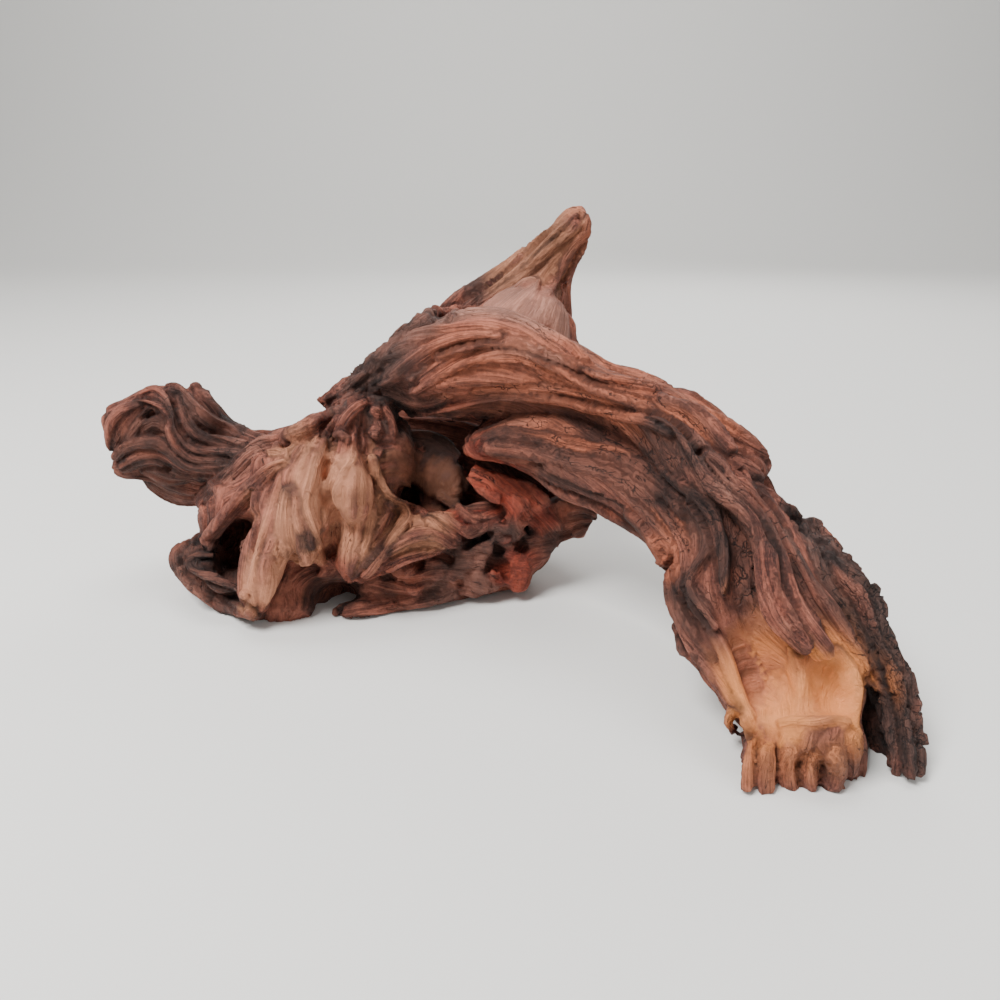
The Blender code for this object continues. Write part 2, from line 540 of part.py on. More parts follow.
# Flat broken plates: how thick they are in mm, and their outline (a, b, y).
PLATES = {
    "slab": (
        8, [
            (-34, 20, 344), (-27, 38, 348), (-8, 31, 348), (12, 25, 347), (32, 17, 347), (46, 8, 348),
            (52, -4, 348),
            (43, -6, 347), (38, -17, 346), (34, -10, 346), (28, -26, 344), (22, -14, 344), (17, -24, 342),
            (12, -9, 342),
            (5, -12, 342), (1, 0, 343), (-8, -1, 342), (-12, 7, 343), (-22, 6, 343),
        ],
    ),
    "slab_step": (
        6, [(-30, 17, 341), (-12, 11, 340), (2, 6, 339), (0, -6, 338), (-10, -3, 339), (-22, 5, 340)],
    ),
    "slab_chip": (
        6, [(10, 8, 341), (30, 2, 342), (33, -14, 341), (24, -9, 340), (19, -20, 339), (12, -8, 340)],
    ),
    "wing": (
        18,
        [
            (36, -6, 351), (60, 2, 354), (96, -13, 360), (84, -37, 360), (62, -41, 354), (49, -38, 351),
            (40, -24, 350),
        ],
    ),
    "dark_block": (
        24,
        [(24, -33, 349), (44, -36, 350), (60, -40, 353), (50, -58, 352), (38, -70, 350), (31, -66, 348)],
    ),
    "red_block": (
        24,
        [
            (10, -45, 346), (26, -54, 346), (33, -72, 346), (26, -90, 345), (14, -92, 344), (7, -85, 343),
            (12, -70, 344),
            (0, -57, 345),
        ],
    ),
    "grey_block": (
        24, [(-7, -24, 343), (8, -14, 341), (23, -23, 342), (20, -40, 345), (5, -47, 344), (-8, -37, 342)],
    ),
    "checked_block": (
        22,
        [
            (-47, -54, 341), (-30, -47, 340), (-9, -40, 341), (-7, -58, 341), (-20, -73, 340),
            (-44, -71, 340),
        ],
    ),
    "low_block": (
        24,
        [
            (-36, -78, 342), (-18, -72, 341), (2, -70, 344), (5, -86, 344), (-8, -95, 343), (-28, -98, 342),
            (-38, -92, 341),
        ],
    ),
    "leaf": (
        8,
        [
            (-155, -19, 340), (-150, -60, 336), (-153, -80, 335), (-186, -79, 335), (-169, -48, 338),
            (-158, -34, 340),
        ],
    ),
}

# Broken blocks stick out around these spots: (a, b, how far around, how many, size in mm).
CRUMBS = [
    (-84, -84, 14, 5, 8), (-52, -80, 14, 6, 8), (30, -30, 7, 3, 5), (-10, -56, 8, 3, 6),
    (66, -26, 12, 4, 6),
    (14, -64, 6, 2, 6), (-24, -88, 8, 3, 6),
]
CRUMB_TURN = 0.45

# Strands on the side that isn't seen: how many, the space between them, their length and radius in mm.
WILD_COUNT = 170
WILD_GAP = 8.5
WILD_LENGTH = (45.0, 120.0)
WILD_RADIUS = (2.6, 5.6)
WILD_STEP = 3.0
WILD_SINK = 0.25

# Hollows are cut into the limbs before the strands bridge them. Each point is (a, b, y, radius in mm).
HOLLOWS = {
    "left_cavity": [
        (-250, -14, 322, 4), (-254, -28, 334, 8), (-264, -46, 342, 12), (-270, -64, 340, 10),
        (-273, -74, 332, 6),
    ],
    "left_cavity_back": [(-256, -28, 352, 10), (-264, -44, 362, 12), (-268, -60, 356, 10)],
    "groove": [
        (-174, 56, 336, 2), (-170, 22, 330, 3), (-171, -14, 328, 4), (-168, -40, 330, 5),
        (-166, -56, 334, 5),
    ],
    "beside_hang": [
        (-182, -106, 330, 3), (-174, -100, 338, 6), (-162, -94, 346, 9), (-150, -88, 352, 9),
        (-138, -84, 352, 6),
    ],
    "knot_gap": [(-158, 60, 336, 2), (-159, 52, 336, 3), (-162, 44, 334, 2)],
    "under_sill": [
        (-136, -90, 334, 5), (-108, -78, 336, 7), (-76, -68, 338, 7), (-44, -60, 342, 6),
        (-14, -44, 344, 5),
    ],
    "bowl_hole": [(-91, 6, 330, 6), (-91, 5, 366, 6), (-90, 0, 384, 5)],
    "recess": [
        (-104, 74, 356, 5), (-84, 76, 364, 9), (-58, 72, 370, 11), (-32, 62, 372, 11), (-6, 48, 370, 10),
        (20, 34, 366, 7),
    ],
    "under_lip": [
        (-60, 82, 330, 3), (-24, 84, 326, 5), (12, 86, 324, 4), (48, 84, 318, 3), (90, 76, 310, 2),
    ],
    "arch_pit": [(-54, 178, 346, 3), (-50, 177, 358, 3.5), (-47, 175, 368, 2.5)],
    "horn_knot": [(64, 214, 378, 3), (63, 214, 392, 3)],
    "fin_gap": [(366, -190, 234, 3), (370, -212, 230, 4), (378, -236, 226, 4)],
}

# Broad dents in the skin: (a, b, radius on the sight plane, depth in mm).
DENTS = {
    "scoop": [
        (222, -100, 16, 2), (231, -118, 24, 4), (244, -139, 31, 6.5), (257, -163, 35, 8.5),
        (268, -187, 33, 9.5),
    ],
    "facet": [(324, -170, 17, 2), (332, -184, 21, 4.5), (336, -203, 18, 5.5)],
    "belly": [(-300, -30, 8, 2), (-292, -56, 12, 3)],
}

# Slits are cut after the strands are on: (a, b, radius on the sight plane), and how deep they go in mm.
SLITS = {
    "leg_fissure": (
        20,
        [
            (212, 6, 2), (223, -12, 4), (233, -31, 7), (238, -50, 8), (237, -74, 8.5), (239, -94, 8),
            (247, -114, 6),
        ],
    ),
    "arm_groove": (
        7,
        [
            (-336, 110, 2), (-328, 103, 3), (-321, 88, 3), (-319, 74, 3), (-311, 61, 3), (-299, 55, 2.5),
            (-282, 54, 2),
        ],
    ),
    "arm_fold": (9, [(-366, 72, 2), (-356, 82, 3.5), (-346, 87, 4), (-338, 82, 3), (-334, 75, 2)]),
    "arm_fold_low": (8, [(-364, 62, 2), (-352, 63, 3), (-340, 65, 3), (-334, 62, 2)]),
    "fin_slot": (30, [(374, -244, 4), (378, -254, 6), (383, -264, 5), (387, -272, 3)]),
}
SLIT_LAYERS = 4
BEAD_GAP = 0.35
HOLLOW_WALL = 3.0

# Rough places: (a, b, y, reach in mm), with the size and height of their blocks in mm.
BARK = {
    "arch_left": (
        7.0, 1.8,
        [
            (-158, 112, 368, 16), (-130, 130, 370, 22), (-100, 152, 372, 24), (-66, 172, 378, 22),
            (-35, 180, 382, 14),
        ],
    ),
    "fin": (
        5.0,
        1.7,
        [
            (300, -20, 282, 12), (322, -45, 278, 16), (340, -75, 270, 18), (354, -105, 262, 18),
            (370, -138, 254, 18),
            (388, -170, 246, 16), (400, -205, 240, 14), (408, -240, 232, 12),
        ],
    ),
    "bowl_front": (
        8.0, 1.8, [(-95, -88, 344, 10), (-62, -80, 344, 13), (-26, -64, 342, 12), (-14, -84, 343, 12)],
    ),
}

# Worn smooth places: (a, b, y, reach in mm).
SMOOTH = {
    "scoop": [
        (236, -140, 240, 12), (256, -172, 232, 15), (270, -200, 226, 15), (325, -185, 234, 13),
        (330, -208, 228, 12),
    ],
    "lobe": [(-148, 20, 326, 12), (-148, -4, 324, 12)],
    "mound": [(0, 175, 366, 18), (30, 170, 362, 20), (55, 155, 356, 16)],
    "belly": [(-215, -100, 345, 22), (-168, -60, 338, 14)],
    "bowl": [(-100, 35, 356, 14), (-60, 25, 362, 14)],
    "tongue": [(-188, 20, 332, 12), (-184, -6, 328, 12), (-212, -20, 326, 12), (-230, -80, 322, 14)],
    "leaf": [(-165, -66, 336, 12)],
}
SMOOTH_SHARE = 0.7

# The fibres' field, and the relief that follows it: (ridge width, ridge length, height), in mm.
CELL = 5.0
TWIST = 0.22
STRAND_SAY = 5.0
RIDGES = ((9.0, 90.0, 1.4), (4.4, 70.0, 1.1))
WOBBLE = 2.0
WOBBLE_SIZE = 24.0
STRAND_HOLD = 1.2
BLOCK_STRETCH = 1.6
BLOCK_EDGE = 0.2
SEAM_WIDTH = 1.9
SEAM_DEPTH = 1.0
SEAM_SIZE = 2.6
SEAM_REACH = 9.0

VOXEL = 1.5
TRIANGLES = 11400

WOOD_COLOUR = (0.262, 0.118, 0.078, 1.0)
WOOD_ROUGHNESS = 0.82


def seen(a, b, y):
    """The point, in mm, that lies y mm in front of the eye and is seen at (a, b) on the sight plane."""
    forward = math.cos(EYE_TILT) + b / SIGHT_PLANE * math.sin(EYE_TILT)
    down = math.sin(EYE_TILT) - b / SIGHT_PLANE * math.cos(EYE_TILT)
    reach = y / forward
    return np.array([a / SIGHT_PLANE * reach, y, EYE[2] - down * reach])


def real_size(size, b, y):
    """A size on the sight plane at height b, in mm at distance y."""
    return size / SIGHT_PLANE * y / (math.cos(EYE_TILT) + b / SIGHT_PLANE * math.sin(EYE_TILT))


def spline(rows, steps):
    """Catmull-Rom rows through the given ones."""
    rows = np.asarray(rows, float)
    padded = np.vstack([2 * rows[0] - rows[1], rows, 2 * rows[-1] - rows[-2]])
    made = []
    for i in range(len(rows) - 1):
        p0, p1, p2, p3 = padded[i : i + 4]
        for k in range(steps):
            t = k / steps
            linear = 2 * p1 + (p2 - p0) * t
            square = (2 * p0 - 5 * p1 + 4 * p2 - p3) * t**2
            cubic = (3 * p1 - p0 - 3 * p2 + p3) * t**3
            made.append((linear + square + cubic) / 2)
    made.append(rows[-1])
    return np.array(made)


def limb_rings(sections):
    """The rings of one limb, in mm, with rounded ends."""
    rows = spline([[*seen(*one), *seen(*other), half] for one, other, half in sections], LIMB_STEPS)
    middle = (rows[:, :3] + rows[:, 3:6]) / 2
    across = (rows[:, 3:6] - rows[:, :3]) / 2
    along = np.gradient(middle, axis=0)
    deep = np.cross(across, along)
    deep /= np.linalg.norm(deep, axis=1)[:, None]
    along = np.cross(deep, across)
    along /= np.linalg.norm(along, axis=1)[:, None]
    turn = np.arange(LIMB_SIDES) * 2 * math.pi / LIMB_SIDES

    def ring(i, size, shift):
        half = rows[i, 6]
        oval = np.outer(np.cos(turn), across[i]) + np.outer(np.sin(turn), deep[i] * half)
        return middle[i] + along[i] * shift * half * END_REACH + oval * size

    rings = [ring(0, size, -out) for out, size in ROUND_END[::-1]]
    rings += [ring(i, 1.0, 0.0) for i in range(len(rows))]
    rings += [ring(-1, size, out) for out, size in ROUND_END]
    return np.array(rings)


def loft(rings):
    """The faces of a closed mesh through the rings' points."""
    count, sides = rings.shape[:2]
    faces = []
    for i in range(count - 1):
        for k in range(sides):
            n = (k + 1) % sides
            faces.append((i * sides + k, i * sides + n, (i + 1) * sides + n, (i + 1) * sides + k))
    faces.append(tuple(reversed(range(sides))))
    faces.append(tuple(range((count - 1) * sides, count * sides)))
    return faces


def new_object(name, mesh, collection):
    made = bpy.data.objects.new(name, mesh)
    collection.objects.link(made)
    return made


def evaluated_mesh(source):
    """A mesh of the object as its modifiers leave it."""
    graph = bpy.context.evaluated_depsgraph_get()
    return bpy.data.meshes.new_from_object(source.evaluated_get(graph))


def apply_modifiers(target):
    """Replace the object's mesh by what its modifiers make of it."""
    mesh = evaluated_mesh(target)
    old = target.data
    target.modifiers.clear()
    target.data = mesh
    bpy.data.meshes.remove(old)


def build_limbs(collection):
    """All limbs as overlapping closed lofts in one object."""
    points, faces, base = [], [], 0
    for sections in LIMBS.values():
        rings = limb_rings(sections)
        points.append(rings.reshape(-1, 3))
        faces += [tuple(i + base for i in face) for face in loft(rings)]
        base += len(points[-1])
    mesh = bpy.data.meshes.new("limbs")
    mesh.from_pydata((np.vstack(points) * MM).tolist(), [], faces)
    shape = bmesh.new()
    shape.from_mesh(mesh)
    bmesh.ops.recalc_face_normals(shape, faces=shape.faces)
    shape.to_mesh(mesh)
    shape.free()
    return new_object("limbs", mesh, collection)


def fuse(target, voxel):
    """Fuse what overlaps in the object into one closed skin."""
    remesh = target.modifiers.new("fuse", "REMESH")
    remesh.mode = "VOXEL"
    remesh.voxel_size = voxel * MM
    apply_modifiers(target)


def smooth(target, rounds, factor=0.5):
    mod = target.modifiers.new("smooth", "SMOOTH")
    mod.iterations = rounds
    mod.factor = factor
    apply_modifiers(target)


def build_tubes(name, routes, collection):
    """Tapered round tubes, each through its (point, radius) rows in mm, as one mesh object."""
    curve = bpy.data.curves.new(name, "CURVE")
    curve.dimensions = "3D"
    curve.bevel_depth = MM
    curve.bevel_resolution = 3
    curve.use_fill_caps = True
    for points, radii in routes:
        line = curve.splines.new("POLY")
        line.points.add(len(points) - 1)
        for node, point, radius in zip(line.points, points, radii):
            node.co = (*(point * MM), 1.0)
            node.radius = radius
    guide = new_object(name + "_curve", curve, collection)
    made = new_object(name, evaluated_mesh(guide), collection)
    bpy.data.objects.remove(guide)
    shape = bmesh.new()
    shape.from_mesh(made.data)
    bmesh.ops.remove_doubles(shape, verts=shape.verts, dist=0.00001)
    bmesh.ops.recalc_face_normals(shape, faces=shape.faces)
    shape.to_mesh(made.data)
    shape.free()
    return made


def skin_of(target):
    return BVHTree.FromPolygons(
        [v.co.copy() for v in target.data.vertices], [tuple(p.vertices) for p in target.data.polygons]
    )


def depth_on(skin, a, b):
    """How far in front of the eye, in mm, the skin is seen at (a, b), or is passed there most closely."""
    sight = Vector(seen(a, b, 1.0) - EYE)
    hit = skin.ray_cast(Vector(EYE * MM), sight.normalized())[0]
    if hit:
        return hit.y / MM
    tries = np.arange(NEAREST_Y, FARTHEST_Y, SEARCH_STEP)
    return min(tries, key=lambda y: skin.find_nearest(Vector(seen(a, b, y) * MM))[3])


def drape(route, skin, sink, lift=(0, 0)):
    """Points and radii, in mm, of a route laid on the skin, sunk by a part of its radius and lifted in mm."""
    rows = spline(route, STRAND_STEPS)
    depths = np.array([depth_on(skin, a, b) for a, b, _ in rows])
    for _ in range(2):
        depths[1:-1] = (depths[:-2] + 2 * depths[1:-1] + depths[2:]) / 4
    depths -= np.linspace(*lift, len(rows))
    points, radii = [], []
    for (a, b, size), y in zip(rows, depths):
        radius = real_size(size, b, y) * STRAND_SWELL
        points.append(seen(a, b, y + sink * radius))
        radii.append(max(radius, 0.4))
    return np.array(points), np.array(radii)


def press_beds(target, routes):
    """Press the skin in beside and under each strand, so that the strand stands out of it."""
    every = np.vstack([points for points, _ in routes])
    sizes = np.concatenate([radii for _, radii in routes])
    tree = KDTree(len(every))
    for i, point in enumerate(every):
        tree.insert(point, i)
    tree.balance()
    points = mesh_points(target.data)
    depth = np.zeros(len(points))
    for i, point in enumerate(points):
        _, index, far = tree.find(point)
        depth[i] = np.clip(BED_REACH - far / sizes[index], 0, 1) * sizes[index] * BED_DEPTH
    set_points(target.data, points - mesh_normals(target.data) * depth[:, None])


def build_plates(collection):
    """The broken plates, each a slice between its outline and the same outline deeper in."""
    points, faces, base = [], [], 0
    for thickness, outline in PLATES.values():
        front = np.array([seen(*spot) for spot in outline])
        inward = front - EYE
        inward /= np.linalg.norm(inward, axis=1)[:, None]
        rings = np.array([front, front + inward * thickness])
        points.append(rings.reshape(-1, 3))
        faces += [tuple(i + base for i in face) for face in loft(rings)]
        base += len(points[-1])
    mesh = bpy.data.meshes.new("plates")
    mesh.from_pydata((np.vstack(points) * MM).tolist(), [], faces)
    shape = bmesh.new()
    shape.from_mesh(mesh)
    bmesh.ops.recalc_face_normals(shape, faces=shape.faces)
    shape.to_mesh(mesh)
    shape.free()
    return new_object("plates", mesh, collection)


def build_crumbs(skin, collection):
    """Tilted blocks, half sunk in the skin, around the spots where the wood has crumbled."""
    rng = np.random.default_rng(5)
    shape = bmesh.new()
    for a, b, reach, count, size in CRUMBS:
        for _ in range(count):
            spot = np.array([a, b]) + rng.uniform(-reach, reach, 2)
            place = Vector(seen(*spot, depth_on(skin, *spot)) * MM)
            turn = Euler(rng.uniform(-CRUMB_TURN, CRUMB_TURN, 3))
            scale = Vector(size * rng.uniform(0.5, 1.3, 3) * MM)
            bmesh.ops.create_cube(shape, size=1.0, matrix=Matrix.LocRotScale(place, turn, scale))
    mesh = bpy.data.meshes.new("crumbs")
    shape.to_mesh(mesh)
    shape.free()
    return new_object("crumbs", mesh, collection)


def follow(spot, skin, grain, length):
    """A line over the skin that follows the fibres both ways from a spot, with its inward directions."""
    halves = []
    for way in (1, -1):
        line = []
        heading = grain.at(spot[None])[0] * way
        ahead = spot
        for _ in range(int(length / 2 / WILD_STEP)):
            found, normal, _, _ = skin.find_nearest(Vector(ahead * MM))
            ahead = np.array(found) / MM
            if np.dot(ahead - EYE, normal) < -0.3 * np.linalg.norm(ahead - EYE):
                break
            line.append((*ahead, *normal))
            turned = grain.at(ahead[None])[0]
            heading = turned if np.dot(turned, heading) >= 0 else -turned
            ahead = ahead + heading * WILD_STEP
        halves.append(line)
    return np.array(halves[1][:0:-1] + halves[0])


def wild_routes(target, skin, grain, taken):
    """Strands from random spots behind the wood's outline, as the eye sees it, where none is near yet."""
    rng = np.random.default_rng(3)
    points = mesh_points(target.data)
    sight = points - EYE
    facing = np.sum(sight * mesh_normals(target.data), axis=1) / np.linalg.norm(sight, axis=1)
    starts = rng.permutation(np.flatnonzero((facing > 0.0) & (points[:, 2] > 4.0)))
    taken = np.vstack([points for points, _ in taken])
    routes = []
    for start in starts[:4000]:
        if len(routes) == WILD_COUNT:
            break
        if np.min(np.linalg.norm(taken - points[start], axis=1)) < WILD_GAP:
            continue
        line = follow(points[start], skin, grain, rng.uniform(*WILD_LENGTH))
        if len(line) < 6:
            continue
        radius = rng.uniform(*WILD_RADIUS) * np.sin(np.linspace(0.25, math.pi - 0.25, len(line))) ** 0.6
        centres = line[:, :3] - line[:, 3:] * (radius * WILD_SINK)[:, None]
        routes.append((centres, radius))
        taken = np.vstack([taken, line[:, :3]])
    return routes


def dent_routes(skin):
    """Round tubes in front of the skin that reach into it as deep as the dents."""
    routes = []
    for rows in DENTS.values():
        points, radii = [], []
        for a, b, size, deep in spline(rows, STRAND_STEPS):
            y = depth_on(skin, a, b)
            radius = real_size(size, b, y)
            place = seen(a, b, y)
            sight = (place - EYE) / np.linalg.norm(place - EYE)
            points.append(place - sight * (radius - deep))
            radii.append(radius)
        routes.append((np.array(points), np.array(radii)))
    return routes


def hollow_routes():
    routes = []
    for rows in HOLLOWS.values():
        rows = spline(rows, STRAND_STEPS)
        routes.append((np.array([seen(a, b, y) for a, b, y, _ in rows]), rows[:, 3]))
    return routes


def beads(points, sizes):
    """Balls strung closely along a route, so that together they are a tube, the nearest to the eye first."""
    centres, radii = [], []
    for k in range(len(points) - 1):
        run = np.linalg.norm(points[k + 1] - points[k])
        count = math.ceil(run / (BEAD_GAP * min(sizes[k], sizes[k + 1])))
        part = np.arange(count)[:, None] / count
        centres.append(points[k] + (points[k + 1] - points[k]) * part)
        radii.append(sizes[k] + (sizes[k + 1] - sizes[k]) * part[:, 0])
    centres, radii = np.vstack(centres), np.concatenate(radii)
    order = np.argsort(np.linalg.norm(centres - EYE, axis=1))
    return centres[order], radii[order]


def press_in(target, routes):
    """Push the skin away from the eye until the round tubes along the routes are hollow."""
    points = mesh_points(target.data)
    sight = points - EYE
    sight /= np.linalg.norm(sight, axis=1)[:, None]
    wall = np.where(np.sum(sight * mesh_normals(target.data), axis=1) > 0, HOLLOW_WALL, 0.0)
    for route in routes:
        centres, radii = beads(*route)
        reach = radii.max() + HOLLOW_WALL
        inside = (points > centres.min(axis=0) - reach) & (points < centres.max(axis=0) + reach)
        near = np.flatnonzero(inside.all(axis=1))
        spots, ways, walls = points[near], sight[near], wall[near]
        for centre, radius in zip(centres, radii):
            off = spots - centre
            along = np.sum(off * ways, axis=1)
            room = (radius + walls) ** 2 - np.sum(off * off, axis=1)
            push = np.sqrt(np.maximum(along**2 + room, 0.0)) - along
            spots += ways * np.where(room > 0, push, 0.0)[:, None]
        points[near] = spots
    set_points(target.data, points)


def slit_routes(skin):
    """Each slit is a few tubes, one behind the other, that get thinner as they go in."""
    routes = []
    for depth, rows in SLITS.values():
        points, radii = drape(rows, skin, 0.0)
        inward = points - EYE
        inward /= np.linalg.norm(inward, axis=1)[:, None]
        for layer in range(SLIT_LAYERS):
            part = layer / (SLIT_LAYERS - 1)
            routes.append((points + inward * depth * part, radii * (1.0 - 0.35 * part)))
    return routes


def join(target, other):
    """Add the other object's mesh to the target's."""
    shape = bmesh.new()
    shape.from_mesh(target.data)
    shape.from_mesh(other.data)
    shape.to_mesh(target.data)
    shape.free()
    bpy.data.objects.remove(other)


class Grain:
    """The direction of the fibres everywhere in the wood, on a grid of cells."""

    def __init__(self, low, high):
        self.low = low - 4 * CELL
        self.shape = np.ceil((high - self.low) / CELL).astype(int) + 5
        self.sums = np.zeros((*self.shape, 3, 3))

    def add(self, points, say):
        """Let the fibres follow a line of points."""
        ways = np.gradient(points, axis=0)
        self.add_ways(points, ways, say)

    def add_ways(self, points, ways, say):
        ways = ways / np.maximum(np.linalg.norm(ways, axis=1), 1e-6)[:, None]
        cells = self.cell_of(points)
        np.add.at(self.sums, tuple(cells.T), say * ways[:, :, None] * ways[:, None, :])

    def cell_of(self, points):
        cells = np.floor((points - self.low) / CELL).astype(int)
        return np.clip(cells, 0, self.shape - 1)

    def settle(self):
        """Spread what the lines say over the cells around them, and keep the main direction."""
        spread = self.sums
        total = np.zeros_like(spread)
        weight = 1.0
        for _ in range(5):
            for _ in range(2):
                for axis in range(3):
                    spread = (np.roll(spread, 1, axis) + 2 * spread + np.roll(spread, -1, axis)) / 4
            total += weight * spread
            weight *= 0.3
        flat = total.reshape(-1, 3, 3)
        size = np.maximum(np.trace(flat, axis1=1, axis2=2), 1e-12)
        _, ways = np.linalg.eigh(flat / size[:, None, None])
        self.ways = ways[:, :, 2].reshape(*self.shape, 3)

    def at(self, points):
        return self.ways[tuple(self.cell_of(points).T)]


def soft_noise(points, lattice):
    """Smooth noise between the values of a repeating lattice."""
    size = lattice.shape[0]
    cell = np.floor(points).astype(int)
    part = points - cell
    part = part * part * (3 - 2 * part)
    total = np.zeros(len(points))
    for corner in range(8):
        step = np.array([corner & 1, corner >> 1 & 1, corner >> 2])
        weight = np.prod(np.where(step, part, 1 - part), axis=1)
        total += weight * lattice[tuple(((cell + step) % size).T)]
    return total


def fibre_noise(values, width, length, seed):
    """Seeded noise over the fibre coordinates, of the given width across and length along them, in mm."""
    lattice = np.random.default_rng(seed).standard_normal((32, 32, 32))
    noise = soft_noise(values / (width, width, length), lattice)
    return noise / np.std(noise)


def blocks(values, size, stretch, seed):
    """Cracked blocks, longer along the fibres: the gap to the next block, and the block's own height."""
    rng = np.random.default_rng(seed)
    jitter = rng.random((32, 32, 32, 3))
    height = rng.random((32, 32, 32))
    spots = values / (size, size, size * stretch)
    base = np.floor(spots).astype(int)
    near = np.full(len(values), 9.0)
    next_near = np.full(len(values), 9.0)
    own = np.zeros(len(values))
    for corner in range(27):
        cell = base + np.array([corner % 3 - 1, corner // 3 % 3 - 1, corner // 9 - 1])
        key = tuple((cell % 32).T)
        far = np.linalg.norm(cell + jitter[key] - spots, axis=1)
        closer = far < near
        next_near = np.where(closer, near, np.minimum(next_near, far))
        own = np.where(closer, height[key], own)
        near = np.minimum(near, far)
    return next_near - near, own


def zone(points, rows):
    """How much each point belongs to the soft-edged place in the rows, from 0 to 1."""
    most = np.zeros(len(points))
    for a, b, y, reach in rows:
        far = np.linalg.norm(points - seen(a, b, y), axis=1) / reach
        most = np.maximum(most, np.clip(1.6 - far * 1.1, 0, 1))
    return most * most * (3 - 2 * most)


def smoothness(points):
    return zone(points, [row for rows in SMOOTH.values() for row in rows])


def nearest_strands(points, routes):
    """For each point, the gaps to its two nearest strands, and which strand and centre are nearest."""
    nearest = np.full(len(points), SEAM_REACH)
    second = np.full(len(points), SEAM_REACH)
    owner = np.full(len(points), -1)
    place = np.zeros(len(points), dtype=int)
    for number, (centres, radii) in enumerate(routes):
        reach = radii.max() + SEAM_REACH
        inside = (points > centres.min(axis=0) - reach) & (points < centres.max(axis=0) + reach)
        near = np.flatnonzero(inside.all(axis=1))
        if not len(near):
            continue
        far = np.sum(points[near] ** 2, axis=1)[:, None] + np.sum(centres**2, axis=1)
        far -= 2 * points[near] @ centres.T
        gaps = np.sqrt(np.maximum(far, 0.0)) - radii
        best = np.argmin(gaps, axis=1)
        gap = gaps[np.arange(len(near)), best]
        closer = gap < nearest[near]
        second[near] = np.where(closer, nearest[near], np.minimum(second[near], gap))
        nearest[near] = np.minimum(nearest[near], gap)
        owner[near[closer]] = number
        place[near[closer]] = best[closer]
    return nearest, second, owner, place


def steady_frames(centres):
    """The direction of a line at each of its points, and two across it that turn as little as they can."""
    along = np.gradient(centres, axis=0)
    along /= np.maximum(np.linalg.norm(along, axis=1), 1e-6)[:, None]
    side = np.cross(along[0], (0.3, 0.5, 0.8))
    sides = []
    for way in along:
        side = side - way * np.dot(side, way)
        side = side / np.linalg.norm(side)
        sides.append(side)
    sides = np.array(sides)
    return along, sides, np.cross(along, sides)


def run_of(line):
    """How far along a line of points each of them is."""
    return np.concatenate([[0.0], np.cumsum(np.linalg.norm(np.diff(line, axis=0), axis=1))])


class Fibres:
    """Coordinates in mm that follow the fibres of the nearest limb or strand: two across, one along."""

    def __init__(self, routes):
        self.routes = routes
        points, values, faces, base = [], [], [], 0
        for number, sections in enumerate(LIMBS.values()):
            rings = limb_rings(sections)[len(ROUND_END) : -len(ROUND_END)]
            centre = rings.mean(axis=1)
            girth = np.linalg.norm(rings - centre[:, None], axis=2).mean()
            run = run_of(centre)[:, None]
            turn = np.arange(LIMB_SIDES) * 2 * math.pi / LIMB_SIDES + TWIST * run / girth
            value = np.stack([np.cos(turn) * girth, np.sin(turn) * girth, run + 0 * turn], axis=-1)
            values.append(value.reshape(-1, 3) + self.offset(number))
            points.append(rings.reshape(-1, 3))
            for face in loft(rings)[:-2]:
                a, b, c, d = (i + base for i in face)
                faces += [(a, b, c), (a, c, d)]
            base += len(points[-1])
        points = np.vstack(points)
        self.skin = BVHTree.FromPolygons(points.tolist(), faces)
        self.corners = points[np.array(faces)]
        self.values = np.vstack(values)[np.array(faces)]

    def offset(self, number):
        """So that no two limbs or strands show the same pattern."""
        return np.array([37.7, 61.3, 83.9]) * (number + 1) % 997

    def at(self, points):
        """The coordinates of each point, and how deep it lies in a crease, from 0 to 1."""
        found = [self.skin.find_nearest(Vector(point)) for point in points]
        face = np.array([hit[2] for hit in found])
        spot = np.array([hit[0] for hit in found])
        a, b, c = self.corners[face].transpose(1, 0, 2)
        whole = np.cross(b - a, c - a)
        size = np.maximum(np.sum(whole * whole, axis=1), 1e-9)
        share_b = np.sum(np.cross(spot - a, c - a) * whole, axis=1) / size
        share_c = np.sum(np.cross(b - a, spot - a) * whole, axis=1) / size
        shares = np.stack([1 - share_b - share_c, share_b, share_c], axis=1)
        values = np.sum(self.values[face] * shares[:, :, None], axis=1)
        nearest, second, owner, place = nearest_strands(points, self.routes)
        for number, (centres, _) in enumerate(self.routes):
            mine = np.flatnonzero((owner == number) & (nearest < STRAND_HOLD))
            if not len(mine):
                continue
            along, side, up = (ways[place[mine]] for ways in steady_frames(centres))
            off = points[mine] - centres[place[mine]]
            across = [np.sum(off * side, axis=1), np.sum(off * up, axis=1)]
            run = run_of(centres)[place[mine]] + np.sum(off * along, axis=1)
            values[mine] = np.stack([*across, run], axis=1) + self.offset(number + len(LIMBS))
        lattice = np.random.default_rng(1).standard_normal((32, 32, 32))
        for k in range(3):
            values[:, k] += WOBBLE * soft_noise(points / WOBBLE_SIZE + 7.3 * k, lattice)
        sizes = np.array([radii.mean() for _, radii in self.routes])
        weight = np.clip(sizes[owner] / SEAM_SIZE, 0, 1) ** 2
        own = np.clip(1 - nearest / (0.5 * SEAM_REACH), 0, 1)
        return values, weight * own * np.clip(1 - (second - nearest) / SEAM_WIDTH, 0, 1)


